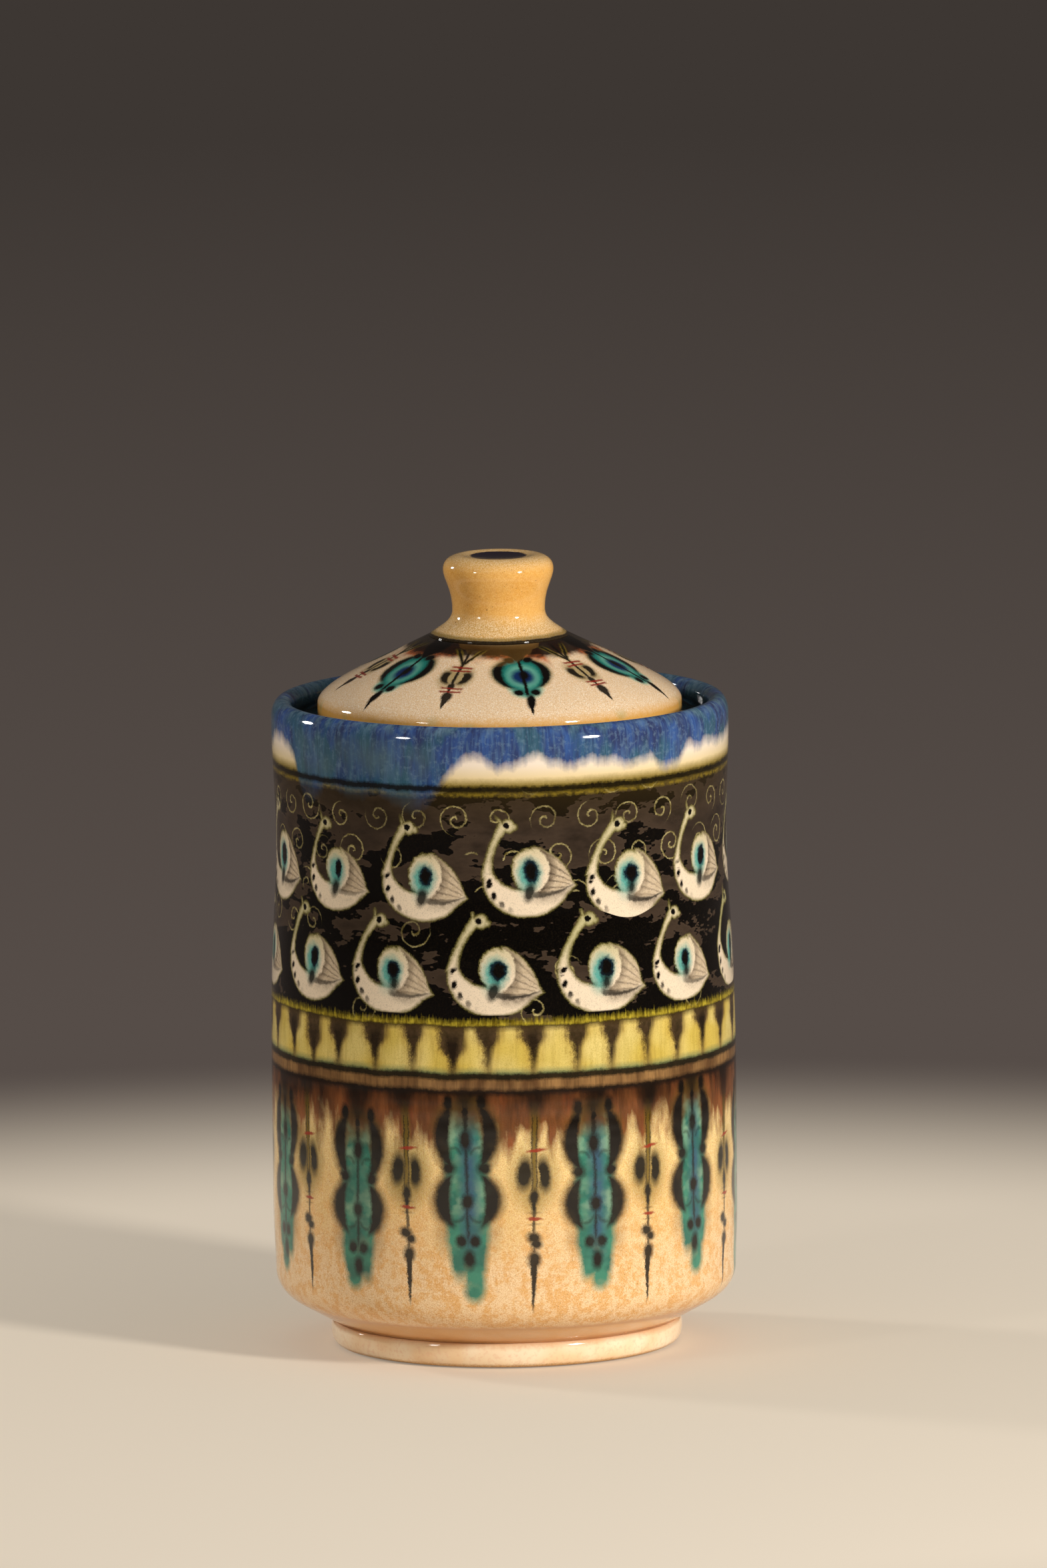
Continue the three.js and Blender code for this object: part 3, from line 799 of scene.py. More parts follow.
    # blue run glaze over rim and collar: one broad pour at the left, one narrow drip at the right
    lobes = r.clouds((angle * 4.2, 0, 4.2), 1, 1.5, 0.5)[0]
    run = r.clouds((angle * 22, height * 0.05, radius * 0.03), 1, 3, 0.6)[0]
    pour = r.ramp(abs(angle + 0.7), 0.52, 0.3, 0, 9.5, smooth=True)
    drip = r.ramp(abs(angle - 0.84), 0.14, 0.03, 0, 4.8, smooth=True)
    low = r.ramp(lobes, 0.38, 0.62, 160.6, 156) - pour - drip
    thick = height + (run - 0.5) * 3 + (quick_a - 0.5) * 1.4 - low
    blue_mask = r.ramp(thick, -1.4, 2)
    veil, veil_b, veil_c = r.parts(r.clouds(r.vector("MULTIPLY", mm, (0.34, 0.34, 0.07)), 1, 3, 0.55)[1])
    blue = r.mix(r.ramp(veil, 0.36, 0.66), full(paints.run), (28, 74, 138))
    green = r.ramp(slow_a + (veil_b - 0.5) * 0.6 + abs(angle - 0.1) * 0.1, 0.52, 0.7)
    blue.lay(green * 0.8, 26, 80, 96)
    blue.lay(r.ramp(veil_c, 0.5, 0.68) * r.ramp(height, 166, 157) * 0.5, 84, 116, 158)
    # painted sheen: a pale grey-blue along the top of the rim stands in for light reflected on its crest
    blue.lay(r.ramp(height, 165.4, 168) * r.ramp(veil_b, 0.46, 0.62) * 0.45, 110, 138, 154)
    blue.lay(r.ramp(hair_a, 0.5, 0.68) * 0.35, 10, 26, 72)
    blue.lay(r.ramp(hair_b, 0.52, 0.72) * 0.34, 92, 130, 160)
    blue.lay(r.ramp(quick_c, 0.52, 0.68) * 0.3, 112, 140, 160)
    milky = r.ramp(pour, 3, 9) * r.ramp(height, 166, 160) * r.ramp(slow_b, 0.36, 0.6, 0.2, 0.75)
    blue.lay(milky, 66, 96, 106)
    colour.lay(blue_mask * r.ramp(z, 149.4, 151.8, 0.25, 0.97), blue)
    colour.lay(r.ramp(abs(z + wet * 0.5 - COLLAR_LINE), 1.2, 0.4) * 0.93, 12, 8, 3)

    # inside and underside
    inside = r.ramp(radius, 54.9, 54.3) * r.ramp(height, 12.6, 13.6)
    liner = r.mix(r.ramp(height + (run - 0.5) * 30, 128, 150), (214, 186, 140), (8, 20, 26))
    colour.lay(inside * r.ramp(height, 166.4, 163.4), liner)
    under = r.ramp(height + (quick_a - 0.5), 12.7, 11.8)
    colour.lay(under * 0.9, 214, 162, 106)
    bare = r.ramp(radius, 38.5, 37.6) * r.ramp(height, 8, 7)
    colour.lay(bare, 196, 150, 112)
    rough = r.most(bare * 0.6, r.ramp(fine_a, 0.3, 0.7, 0.03, 0.07))
    return finish_material(material, r, colour, rough, mm, 0.0001, 0.5, 0.35)


def painted_lid(paints):
    """Speckled pinkish cream, black and rust ring at the knob, palmettes and stems turn about, ochre edge."""
    material, r, (mm, angle, height, radius), wobbles = glaze_material("lid painting", 0.22, 0.16, 0.1)
    (stray_u, stray_v, _), (slow_a, slow_b, slow_c), (quick_a, quick_b, _), (fine_a, fine_b, _) = wobbles
    out = radius + stray_v

    colour = r.mix(r.ramp(fine_a, 0.4, 0.6), full(paints.lid), (226, 190, 148))
    colour.lay(r.ramp(fine_b, 0.52, 0.64) * 0.6, 255, 244, 224)
    speck = r.use("speckle", millimetres=mm, spacing=0.5, share=0.4, speck=0.3)
    colour.lay(speck * 0.5, 176, 128, 84)
    brown = r.use("speckle", millimetres=mm, spacing=1.7, share=0.16, speck=0.12)
    colour.lay(brown * 0.6, 120, 70, 40)

    rust = r.ramp(radius + (slow_b - 0.5) * 9 + (quick_b - 0.5) * 3, 28.4, 25) * r.ramp(slow_c, 0.4, 0.52)
    colour.lay(rust * 0.92, r.mix(r.ramp(quick_a, 0.35, 0.6), (116, 48, 10), (186, 86, 22)))
    ring = r.ramp(out + (quick_a - 0.5) * 2 + (slow_b - 0.5) * 3, 25.4, 23)
    shade = r.mix(r.ramp(out, 23.4, 20.4), (30, 15, 6), (12, 9, 6))
    colour.lay(ring * 0.97, shade)

    number, arc, _ = tile(r, angle, LID_ORNAMENTS, 0.17, 1)
    luck = r.luck(number, 1.2, 9.4)
    spot = jittered(r, luck, arc * radius + stray_u, out, 1, 1, 0.05, 0.05)
    colour = r.use("lid palmette", place=spot, luck=luck, ground=colour)
    number, arc, _ = tile(r, angle, LID_ORNAMENTS, 0.68, 1)
    luck = r.luck(number, 7.7, 2.6)
    spot = jittered(r, luck, arc * radius + stray_u, out, 1.4, 1.2, 0.08, 0.08)
    colour = r.use("lid stem", place=spot, luck=luck, ground=colour)

    edge = r.ramp(height + (quick_b - 0.5) * 1.8, 169.6, 166.8)
    colour.lay(edge * 0.95, 218, 160, 74)
    green = r.ramp(slow_a, 0.56, 0.66) * r.ramp(height, 169.6, 167)
    colour.lay(green * 0.5, 120, 150, 104)
    under = r.ramp(height, 163.6, 162.8)
    colour.lay(under, 150, 110, 66)
    rough = r.ramp(fine_b, 0.3, 0.7, 0.03, 0.08)
    return finish_material(material, r, colour, rough, mm, 0.00008, 0.3, 0.7)


def glazed_knob(paints):
    """Ochre glaze with brown specks, paler on flare and crest, and a dark painted disc in the dish."""
    material, r, (mm, _, height, radius), wobbles = glaze_material("knob glaze", 0.2, 0.1, 0.08)
    (_, stray_v, _), (slow_a, _, _), (quick_a, quick_b, _), (fine_a, fine_b, _) = wobbles
    ochre = r.mix(r.ramp(quick_a, 0.4, 0.64) * 0.45, full(paints.knob), (206, 140, 58))
    ochre.lay(r.ramp(slow_a, 0.42, 0.66) * 0.4, 226, 176, 104)
    ochre.lay(r.ramp(fine_a, 0.46, 0.6) * 0.45, 240, 196, 124)
    grain = r.mix(r.ramp(fine_b, 0.45, 0.58), (214, 168, 98), (242, 212, 166))
    pale = r.ramp(height + (slow_a - 0.5) * 3 + (quick_b - 0.5) * 2.4, 191.4, 187.6)
    crest = r.ramp(height + (quick_b - 0.5) * 1.6, 201.6, 204.8) * 0.8
    colour = r.mix(r.most(pale, crest), ochre, grain)
    speck = r.use("speckle", millimetres=mm, spacing=0.5, share=0.4, speck=0.25)
    colour.lay(speck * 0.55, 132, 78, 30)
    brown = r.use("speckle", millimetres=mm, spacing=1.6, share=0.2, speck=0.13)
    colour.lay(brown * 0.8, 92, 48, 18)
    disc = r.ramp(radius + stray_v * 1.4, 7.6, 7) * r.ramp(height, 203, 204)
    colour.lay(disc, 30, 20, 38)
    skirt = r.ramp(radius + stray_v, 17, 17.5)
    colour.lay(r.between(radius + stray_v, 16.3, 17.4, 0.4) * 0.75, 120, 98, 34)
    colour.lay(skirt * 0.97, 14, 10, 7)
    rough = r.ramp(fine_b, 0.3, 0.7, 0.03, 0.08)
    return finish_material(material, r, colour, rough, mm, 0.00008, 0.2, 0.7)


def glazed_foot(paints):
    """Thin pink glaze over pale clay, rubbed to grainy ochre on the resting edge."""
    material, r, (mm, _, height, radius), wobbles = glaze_material("foot glaze", 0.3, 0.15, 0.1)
    _, (slow_a, slow_b, _), (quick_a, quick_b, _), (fine_a, fine_b, _) = wobbles
    colour = r.mix(r.ramp(slow_a, 0.4, 0.6), full(paints.foot), (252, 232, 198))
    colour.lay(r.ramp(quick_a, 0.5, 0.68) * 0.4, 236, 190, 150)
    seam = r.ramp(height + (slow_b - 0.5) * 1.2 + (fine_b - 0.5) * 0.5, 5, 6.3)
    colour.lay(seam * 0.55, 206, 150, 104)
    rubbed = r.ramp(height + (quick_b - 0.5) * 0.8 + (fine_b - 0.5) * 0.5, 1.2, 0.5)
    grit = r.mix(r.ramp(fine_a, 0.45, 0.6), (214, 168, 98), (170, 120, 62))
    colour.lay(rubbed * 0.85, grit)
    bare = r.ramp(radius, 39.4, 38.4)
    colour.lay(bare, 196, 150, 112)
    rough = r.most(rubbed * 0.5, bare * 0.65, r.ramp(fine_a, 0.3, 0.7, 0.04, 0.1))
    return finish_material(material, r, colour, rough, mm, 0.0002, 0.7, 0.6)


def glazed_mouth():
    """Dark green-blue pooled glaze on the ledge, thin and brown below."""
    material, r, (mm, _, height, _), wobbles = glaze_material("mouth glaze", 0.3, 0.2, 0.1)
    _, (slow_a, _, _), (quick_a, quick_b, _), _ = wobbles
    colour = r.mix(r.ramp(slow_a, 0.4, 0.6), (12, 30, 34), (20, 52, 58))
    colour.lay(r.ramp(quick_a, 0.55, 0.75) * 0.5, 30, 62, 84)
    colour.lay(r.ramp(height + quick_b, 161, 159.2), 120, 96, 62)
    rough = r.ramp(quick_b, 0.3, 0.7, 0.06, 0.14)
    return finish_material(material, r, colour, rough, mm, 0.0002, 0.4, 0.5)


def glazed_flange(paints):
    """Thin cream glaze wiped back to the clay on the rubbing edge."""
    material, r, (mm, _, height, _), wobbles = glaze_material("flange glaze", 0.3, 0.2, 0.1)
    _, (slow_a, _, _), (quick_a, _, _), _ = wobbles
    colour = r.mix(r.ramp(slow_a, 0.4, 0.6), full(paints.lid), (200, 168, 128))
    speck = r.use("speckle", millimetres=mm, spacing=1.1, share=0.3, speck=0.2)
    colour.lay(speck * 0.6, 146, 100, 62)
    rubbed = r.ramp(height + (quick_a - 0.5) * 1.6, 156.6, 155.2)
    colour.lay(rubbed * 0.8, 188, 140, 98)
    rough = r.most(rubbed * 0.55, r.ramp(quick_a, 0.3, 0.7, 0.15, 0.25))
    return finish_material(material, r, colour, rough, mm, 0.0003, 0.6, 0.6)


# Turned skins


class Outline:
    """A profile to turn round the Z axis, traced by lines and curves through points of radius and height."""

    def __init__(self, radius, height):
        self.points = [Vector((radius, 0, height))]

    def line(self, radius, height, cuts=0):
        start, end = self.points[-1], Vector((radius, 0, height))
        self.points += [start.lerp(end, (i + 1) / (cuts + 1)) for i in range(cuts + 1)]

    def curve(self, first, second, radius, height, steps=12):
        """A curve with a handle at each end."""
        knots = [Vector((r, 0, z)) for r, z in (first, second, (radius, height))]
        self.points += interpolate_bezier(self.points[-1], *knots, steps + 1)[1:]

    def bend(self, corner, radius, height, fullness, steps=12):
        """A curve round a corner, its handles part of the way there."""
        ends = (self.points[-1].x, self.points[-1].z), (radius, height)
        handles = [tuple(a + (b - a) * fullness for a, b in zip(end, corner)) for end in ends]
        self.curve(*handles, radius, height, steps)

    def upright(self, radius, height, leave, arrive, steps=14):
        """A curve that leaves and arrives upright, so stretches of wall meet without a crease."""
        start = self.points[-1]
        rise = height - start.z
        self.curve((start.x, start.z + leave * rise), (radius, height - arrive * rise), radius, height, steps)


def turned_skin(name, outline, closed, sizes):
    """Turns an outline round the Z axis; the wall strays inwards a little, as a hand-thrown one does."""
    mesh = bpy.data.meshes.new(name)
    bm = bmesh.new()
    verts = [bm.verts.new(point) for point in outline.points]
    for a, b in zip(verts, verts[1:]):
        bm.edges.new((a, b))
    if closed:
        bm.edges.new((verts[-1], verts[0]))
    geometry = bm.verts[:] + bm.edges[:]
    spun = {"cent": (0, 0, 0), "axis": (0, 0, 1), "angle": TURN, "steps": sizes.steps}
    bmesh.ops.spin(bm, geom=geometry, use_merge=True, **spun)
    bmesh.ops.remove_doubles(bm, verts=bm.verts, dist=NEAR)
    bmesh.ops.recalc_face_normals(bm, faces=bm.faces)
    for vert in bm.verts:
        flat = Vector((vert.co.x, vert.co.y, 0))
        if flat.length > SWAY_CORE:
            stray = noise.noise(Vector([c * waves for c, waves in zip(vert.co, SWAY_WAVES)]))
            vert.co += flat.normalized() * (stray - 1) / 2 * sizes.sway
    for face in bm.faces:
        face.smooth = True
    bm.to_mesh(mesh)
    bm.free()
    skin = bpy.data.objects.new(name, mesh)
    bpy.context.scene.collection.objects.link(skin)
    return skin


def dress(skin, material, body, node):
    """Gives a skin its glaze and its body, and hides the solid it stands for."""
    skin.data.materials.append(material)
    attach(skin, body)
    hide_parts(node)


def amount(name, description, default, **kind):
    """A number that a user can change."""
    return FloatProperty(name=name, description=description, default=default, **kind)


def paint(name, description, *rgb):
    """A colour that a user can change."""
    return FloatVectorProperty(name=name, description=description, subtype="COLOR", default=linear(*rgb)[:3])


class JAR_PG_sizes(bpy.types.PropertyGroup):
    """Sizes of the turned skins that a user would change."""

    belly: amount("Belly radius", "Widest radius of the drum", BODY_HIGH.x, unit="LENGTH")
    waist: amount("Waist radius", "Narrowest radius of the wall", 0.0581, unit="LENGTH")
    neck: amount("Neck radius", "Radius of the wall under the rim", 0.059, unit="LENGTH")
    rim: amount("Rim thickness", "Width of the rounded rim", 0.0056, unit="LENGTH")
    wall: amount("Wall thickness", "Width of the drum's wall", 0.0058, unit="LENGTH")
    shoulder: amount("Lid shoulder radius", "Where the lid's cone ends", 0.0357, unit="LENGTH")
    knob_neck: amount("Knob neck radius", "Narrowest radius of the knob", 0.012, unit="LENGTH")
    knob_crown: amount("Knob crown radius", "Widest radius of the knob's head", 0.0143, unit="LENGTH")
    steps: IntProperty(name="Turn steps", description="Faces round each skin", default=192, min=24)
    sway: amount("Hand sway", "How far a thrown wall strays inwards", 0.00012, unit="LENGTH")


class JAR_PG_paints(bpy.types.PropertyGroup):
    """Main colours of the glazes and paints."""

    ground: paint("Ground", "Buff ground behind the hanging ornaments", 232, 194, 124)
    low_ground: paint("Low ground", "Pinkish ground above the foot", 242, 208, 160)
    rust: paint("Rust", "Rust brown wash under the lines", 102, 50, 16)
    frieze: paint("Frieze", "Dark ground of the frieze of birds", 4, 3, 2)
    slip: paint("Slip", "Pale slip of the birds", 230, 210, 182)
    band: paint("Band", "Yellow band under the frieze", 212, 184, 88)
    collar: paint("Collar", "Cream collar under the rim", 234, 218, 200)
    run: paint("Run", "Blue glaze that runs over rim and collar", 12, 38, 88)
    teal: paint("Teal", "Turquoise of the hanging palmettes", 30, 104, 88)
    ink: paint("Ink", "Black of the hanging ornaments", 18, 12, 7)
    lid: paint("Lid", "Speckled ground of the lid", 240, 206, 164)
    knob: paint("Knob", "Ochre glaze of the knob", 222, 162, 76)
    foot: paint("Foot", "Thin pink glaze of the foot", 246, 214, 170)


class JAR_PG_stage(bpy.types.PropertyGroup):
    """Light, floor and camera."""

    key: amount("Key light", "Power of the light at the right", 21, unit="POWER")
    fill: amount("Fill light", "Power of the light at the left", 2.4, unit="POWER")
    back: amount("Back light", "Power of the light behind", 6.5, unit="POWER")
    room: amount("Room light", "Strength of the light from all round", 0.13)
    floor: paint("Floor", "Pale floor", 236, 222, 202)
    near_grey: paint("Low backdrop", "Backdrop just above the floor", 86, 77, 72)
    far_grey: paint("High backdrop", "Backdrop towards the top", 61, 55, 51)
    distance: amount("Camera distance", "From the camera to its aim", 6.6, unit="LENGTH")
    rise: amount("Camera rise", "How far the camera looks down", math.radians(8.5), subtype="ANGLE")
    roll: amount("Camera roll", "How far the picture leans", math.radians(-0.65), subtype="ANGLE")


class JAR_OT_drum(bpy.types.Operator):
    """Turn and paint the drum"""

    bl_idname = "jar.drum"
    bl_label = "Drum"

    def execute(self, context):
        s = context.scene.jar_sizes
        bottom, top = BODY_LOW.z, BODY_HIGH.z
        flare_radius, flare_height = FOOT_TOP_RADIUS + 0.0098, bottom + 0.0054
        heel_radius, heel_corner, heel = s.belly - 0.0005, bottom + 0.0083, 0.02
        belly_low, belly_high, waist_height = 0.038, 0.072, 0.131
        round_off, spring = s.rim / 2, top - 0.0046
        mouth, inner = s.neck - s.rim, s.belly - s.wall
        step, step_width = SEAT_LOW.z, 0.002
        throat_radius, throat_height = inner - 0.0016, step - 0.012
        floor, floor_radius, floor_rise = bottom + FLOOR_THICKNESS, inner - 0.0112, 0.013

        outline = Outline(0, bottom)
        outline.line(FOOT_TOP_RADIUS, bottom, 3)
        outline.line(flare_radius, flare_height, 2)
        outline.bend((heel_radius, heel_corner), heel_radius, heel, SLACK)
        outline.upright(s.belly, belly_low, 0.3, 0.5, 8)
        outline.line(s.belly, belly_high, 8)
        outline.upright(s.waist, waist_height, 0.6, 0.25)
        outline.upright(s.neck, spring, 0.35, 0.35)
        outline.bend((s.neck, top), s.neck - round_off, top, ROUND)
        outline.bend((mouth, top), mouth, top - round_off, ROUND)
        outline.line(mouth, step)
        outline.line(mouth - step_width, step)
        outline.line(throat_radius, throat_height, 2)
        outline.upright(inner, belly_high, 0.35, 0.35)
        outline.line(inner, floor + floor_rise, 8)
        outline.bend((inner, floor), floor_radius, floor, SLACK)
        outline.line(0, floor, 3)
        skin = turned_skin("drum_skin", outline, False, s)
        dress(skin, painted_drum(context.scene.jar_paints), "jar", "jar_body")
        return {"FINISHED"}


class JAR_OT_foot(bpy.types.Operator):
    """Turn and glaze the foot ring"""

    bl_idname = "jar.foot"
    bl_label = "Foot ring"

    def execute(self, context):
        s = context.scene.jar_sizes
        outer, top = FOOT_HIGH.x, FOOT_HIGH.z
        contact_outer, contact_inner = outer - 0.003, outer - 0.0068
        bulge, soft = 0.0042, 0.0012
        hollow = contact_inner - soft
        outline = Outline(contact_inner, 0)
        outline.line(contact_outer, 0)
        outline.bend((outer, 0), outer, bulge, SLACK, 8)
        outline.bend((outer, top), FOOT_TOP_RADIUS, top, SLACK, 8)
        outline.line(hollow, top)
        outline.line(hollow, soft)
        outline.bend((hollow, 0), contact_inner, 0, SLACK, 8)
        outline.points.pop()
        skin = turned_skin("foot_skin", outline, True, s)
        dress(skin, glazed_foot(context.scene.jar_paints), "jar", "foot_ring")
        return {"FINISHED"}


class JAR_OT_mouth(bpy.types.Operator):
    """Turn and glaze the ledge in the mouth"""

    bl_idname = "jar.mouth"
    bl_label = "Ledge in the mouth"

    def execute(self, context):
        s = context.scene.jar_sizes
        low, top = SEAT_LOW.z, SEAT_HIGH.z
        outer, inner = SEAT_HIGH.x, SEAT_INNER_RADIUS
        soft, slant_width, slant_rise = 0.0004, 0.0045, 0.002
        outline = Outline(inner + slant_width, low)
        outline.line(outer, low, 2)
        outline.line(outer, top)
        outline.line(inner + soft, top, 2)
        outline.bend((inner, top), inner, top - soft, ROUND, 4)
        outline.line(inner, low + slant_rise)
        skin = turned_skin("ledge_skin", outline, True, s)
        dress(skin, glazed_mouth(), "jar", "lid_seat_ring")
        return {"FINISHED"}


class JAR_OT_lid(bpy.types.Operator):
    """Turn and paint the lid"""

    bl_idname = "jar.lid"
    bl_label = "Lid"

    def execute(self, context):
        s = context.scene.jar_sizes
        low, top = LID_LOW.z, LID_HIGH.z
        outer = LID_HIGH.x
        inner = FLANGE_HIGH.x - FLANGE_THICKNESS
        knob_foot = KNOB_HIGH.x + 0.0003
        shoulder = top - 0.0084
        slope = (top - shoulder) / (s.shoulder - knob_foot)
        corner = shoulder - slope * (outer - s.shoulder)
        rim_top, edge = low + 0.0047, low + 0.0028
        hollow, hollow_radius = top - 0.005, 0.012

        outline = Outline(inner, low)
        outline.line(outer, low, 2)
        outline.line(outer, rim_top, 2)
        outline.bend((outer, corner), s.shoulder, shoulder, SLACK, 16)
        outline.line(knob_foot, top, 6)
        outline.line(0, top, 2)
        under = Outline(0, hollow)
        under.line(hollow_radius, hollow, 1)
        under.bend((inner, (hollow + edge) / 2), inner, edge, SLACK)
        outline.points += under.points
        skin = turned_skin("lid_skin", outline, True, s)
        dress(skin, painted_lid(context.scene.jar_paints), "lid", "lid_cover")
        return {"FINISHED"}


class JAR_OT_flange(bpy.types.Operator):
    """Turn and glaze the ring under the lid"""

    bl_idname = "jar.flange"
    bl_label = "Ring under the lid"

    def execute(self, context):
        s = context.scene.jar_sizes
        low, top = FLANGE_LOW.z, FLANGE_HIGH.z
        outer = FLANGE_HIGH.x
        inner = outer - FLANGE_THICKNESS
        soft = 0.0015
        outline = Outline(inner, top)
        outline.line(inner, low + soft)
        outline.bend((inner, low), inner + soft, low, ROUND, 6)
        outline.line(outer - soft, low)
        outline.bend((outer, low), outer, low + soft, ROUND, 6)
        outline.line(outer, top)
        skin = turned_skin("flange_skin", outline, True, s)
        dress(skin, glazed_flange(context.scene.jar_paints), "lid", "lid_flange")
        return {"FINISHED"}


class JAR_OT_knob(bpy.types.Operator):
    """Turn and glaze the knob"""

    bl_idname = "jar.knob"
    bl_label = "Knob"

    def execute(self, context):
        s = context.scene.jar_sizes
        low, top = KNOB_LOW.z, KNOB_HIGH.z
        foot = KNOB_HIGH.x
        neck_height = low + 0.0069
        crown_height = top - 0.0037
        crest = s.knob_crown - 0.0047
        dish = top - 0.0008
        flare = foot - s.knob_neck
        sweep = (s.knob_neck + 0.35 * flare, low + 0.0029), (s.knob_neck, low + 0.0041)
        shoulder = (s.knob_crown, crown_height + 0.0026), (crest + 0.0023, top)

        outline = Outline(0, low)
        outline.line(foot, low, 2)
        outline.line(foot - 0.0003, low + 0.0005)
        outline.curve(*sweep, s.knob_neck, neck_height, 14)
        outline.upright(s.knob_crown, crown_height, 0.5, 0.25)
        outline.curve(*shoulder, crest, top, 14)
        outline.bend((crest / 2, dish), 0, dish, SLACK, 10)
        skin = turned_skin("knob_skin", outline, False, s)
        dress(skin, glazed_knob(context.scene.jar_paints), "lid", "lid_knob")
        return {"FINISHED"}


def lamp(name, azimuth, elevation, power, colour):
    """A round area lamp aimed at the jar's middle; azimuth 0 is at the camera, positive to its right."""
    data = bpy.data.lights.new(name, "AREA")
    data.shape = "DISK"
    data.size = LAMP_SIZE
    data.energy = power
    data.color = colour
    a, e = math.radians(azimuth), math.radians(elevation)
    way = Vector((math.sin(a) * math.cos(e), -math.cos(a) * math.cos(e), math.sin(e)))
    light = bpy.data.objects.new(name, data)
    light.location = LAMP_AIM + way * LAMP_DISTANCE
    light.rotation_mode = "QUATERNION"
    light.rotation_quaternion = way.to_track_quat("Z", "Y")
    bpy.context.scene.collection.objects.link(light)


def backdrop_mask(r):
    """1 for the rays that show the backdrop: the camera's, mirrored and bent ones."""
    path = r.node("ShaderNodeLightPath")
    names = ("Is Camera Ray", "Is Glossy Ray", "Is Transmission Ray")
    return r.most(*[Step(r, path.outputs[name]) for name in names])


def studio_floor(pale, near_grey, far_grey):
    """A pale floor that keeps the jar's shadow and fades to the grey of the backdrop."""
    mesh = bpy.data.meshes.new("floor")
    bm = bmesh.new()
    bmesh.ops.create_circle(bm, cap_ends=True, segments=FLOOR_EDGES, radius=FLOOR_RADIUS)
    bm.to_mesh(mesh)
    bm.free()
    floor = bpy.data.objects.new("floor", mesh)
    floor.location.z = -FLOOR_DROP
    bpy.context.scene.collection.objects.link(floor)
    material, r = empty_material("studio floor")
    reach = r.vector("DISTANCE", r.seen_from("Object"), FLOOR_MIDDLE)
    seen = backdrop_mask(r)
    matt = r.made_from(r.node("ShaderNodeBsdfDiffuse"), {"Color": full(pale)})
    lift = r.made_from(r.node("ShaderNodeEmission"), {"Color": full(pale)})
    grey = r.mix(r.ramp(reach, GREY_START, GREY_END), full(near_grey), full(far_grey))
    backdrop = r.made_from(r.node("ShaderNodeEmission"), {"Color": grey})
    near = r.made_from(r.node("ShaderNodeMixShader"), (seen * FLOOR_LIFT, matt, lift))
    far = r.ramp(reach, FADE_START, FADE_END, smooth=True) * seen
    r.ends("ShaderNodeOutputMaterial", r.made_from(r.node("ShaderNodeMixShader"), (far, near, backdrop)))
    mesh.materials.append(material)


def studio_world(grey, room):
    """Plain even light, strongest from above; camera and mirrored rays see the backdrop's own grey."""
    world = bpy.data.worlds.new("studio")
    bpy.context.scene.world = world
    world.use_nodes = True
    world.node_tree.nodes.clear()
    r = Recipe(world.node_tree)
    seen = backdrop_mask(r)
    upwards = r.parts(r.seen_from("Generated"))[2]
    even = r.ramp(upwards, 0, 1, room * LEVEL_SHARE, room * TOP_SHARE)
    light = {"Color": r.mix(seen, (1, 1, 1, 1), full(grey)), "Strength": r.most(even * (1 - seen), seen)}
    r.ends("ShaderNodeOutputWorld", r.made_from(r.node("ShaderNodeBackground"), light))


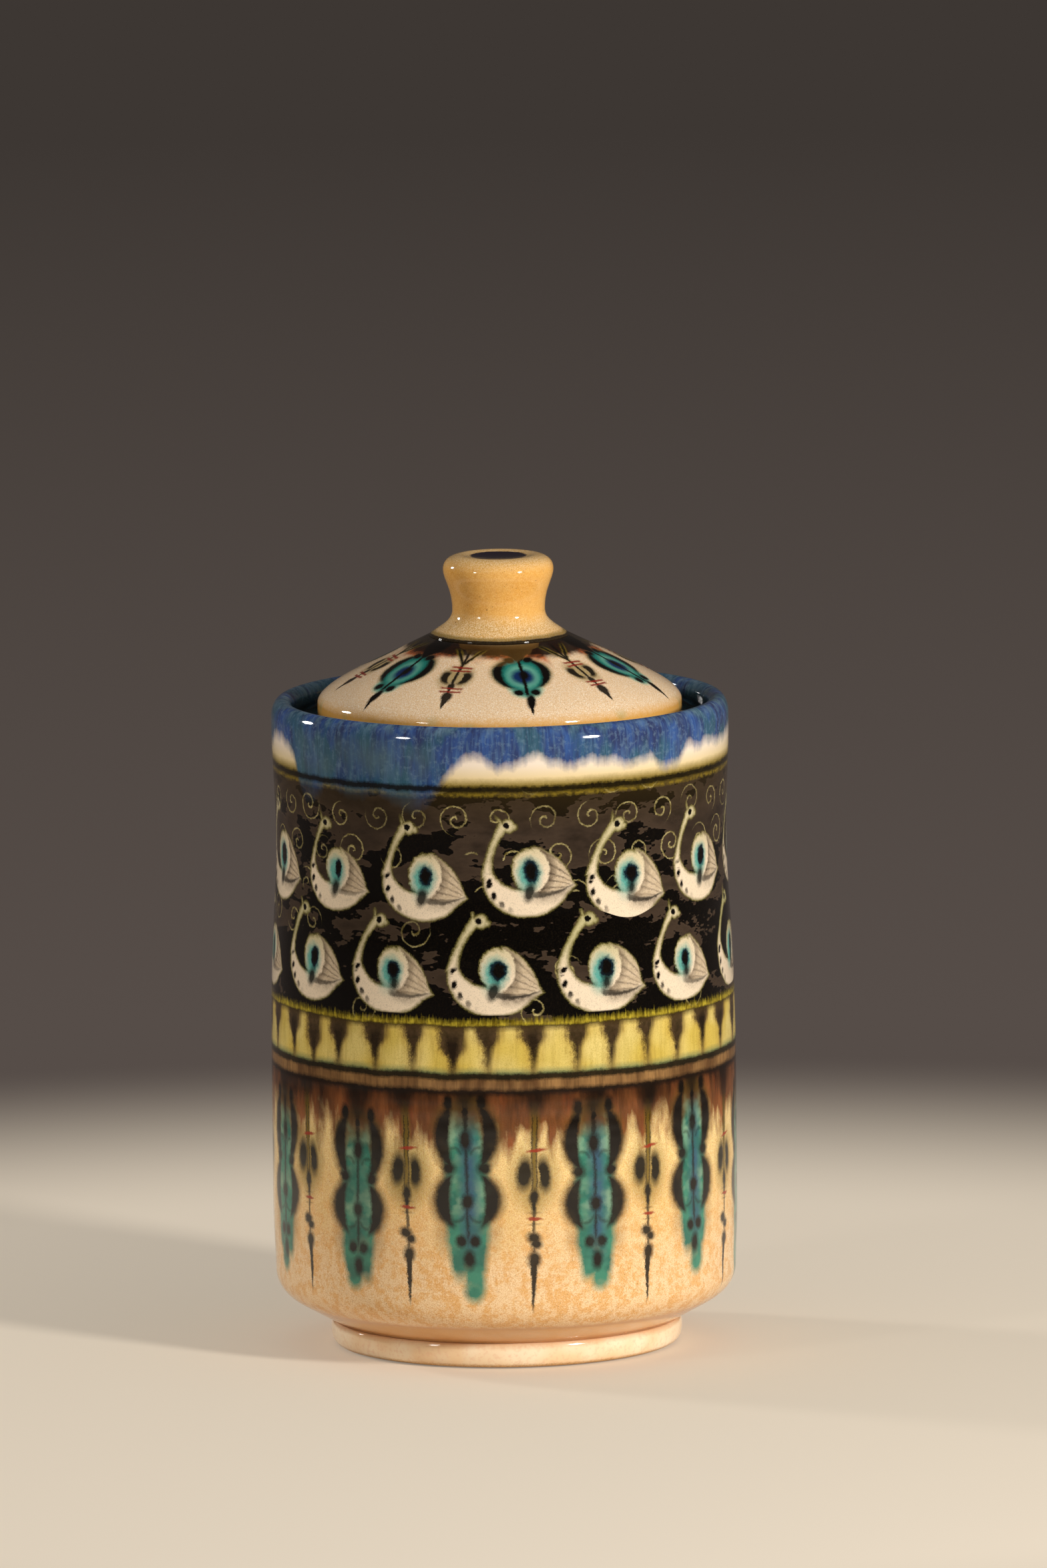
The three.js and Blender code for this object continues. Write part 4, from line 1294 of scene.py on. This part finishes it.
class JAR_OT_stage(bpy.types.Operator):
    """Set up floor, light and camera"""

    bl_idname = "jar.stage"
    bl_label = "Stage"

    def execute(self, context):
        s = context.scene.jar_stage
        studio_floor(s.floor, s.near_grey, s.far_grey)
        studio_world(s.far_grey, s.room)
        lamp("key_light", 47, 17, s.key, (1, 0.97, 0.92))
        lamp("fill_light", -50, 17, s.fill, (1, 0.97, 0.93))
        lamp("back_light", -117, 19, s.back, (1, 0.97, 0.93))

        camera = bpy.data.objects.new("camera", bpy.data.cameras.new("camera"))
        context.scene.collection.objects.link(camera)
        camera.data.sensor_width, camera.data.lens, camera.data.clip_end = SENSOR, LENS, CLIP_END
        back = Vector((0, -math.cos(s.rise), math.sin(s.rise)))
        camera.location = CAMERA_AIM + back * s.distance
        camera.rotation_mode = "QUATERNION"
        level = back.to_track_quat("Z", "Y")
        camera.rotation_quaternion = level @ Matrix.Rotation(s.roll, 4, "Z").to_quaternion()
        context.scene.camera = camera
        context.scene.view_settings.view_transform = "Standard"
        return {"FINISHED"}


class JAR_PT_panel(bpy.types.Panel):
    """Buttons and values for the jar"""

    bl_idname = "JAR_PT_panel"
    bl_label = "Painted jar"
    bl_space_type = "VIEW_3D"
    bl_region_type = "UI"
    bl_category = "Jar"

    def draw(self, context):
        for operator in OPERATORS:
            self.layout.operator(operator.bl_idname)
        for name, kind in PROPERTY_GROUPS.items():
            values = getattr(context.scene, name)
            for value in kind.__annotations__:
                self.layout.prop(values, value)


OPERATORS = (JAR_OT_drum, JAR_OT_foot, JAR_OT_mouth, JAR_OT_lid, JAR_OT_flange, JAR_OT_knob, JAR_OT_stage)
PROPERTY_GROUPS = {"jar_sizes": JAR_PG_sizes, "jar_paints": JAR_PG_paints, "jar_stage": JAR_PG_stage}
CLASSES = (*PROPERTY_GROUPS.values(), *OPERATORS, JAR_PT_panel)
GROUP_MAKERS = {
    "place": group_jar_place,
    "wobble": group_brush_wobble,
    "speckle": group_kiln_speckle,
    "skin": group_glaze_skin,
    "spiral": group_spiral,
    "bird": group_bird,
    "palmette": group_palmette,
    "stem": group_stem,
    "lid palmette": group_lid_palmette,
    "lid stem": group_lid_stem,
}


def mix_groups():
    """Builds the shared groups once."""
    for name, make in GROUP_MAKERS.items():
        GROUPS[name] = make()


def register():
    for one in CLASSES:
        bpy.utils.register_class(one)
    for name, kind in PROPERTY_GROUPS.items():
        setattr(bpy.types.Scene, name, PointerProperty(type=kind))


def unregister():
    for name in PROPERTY_GROUPS:
        delattr(bpy.types.Scene, name)
    for one in reversed(CLASSES):
        bpy.utils.unregister_class(one)


def main():
    register()
    mix_groups()
    bpy.ops.jar.drum()
    bpy.ops.jar.foot()
    bpy.ops.jar.mouth()
    bpy.ops.jar.lid()
    bpy.ops.jar.flange()
    bpy.ops.jar.knob()
    bpy.ops.jar.stage()


if __name__ == "__main__":
    main()
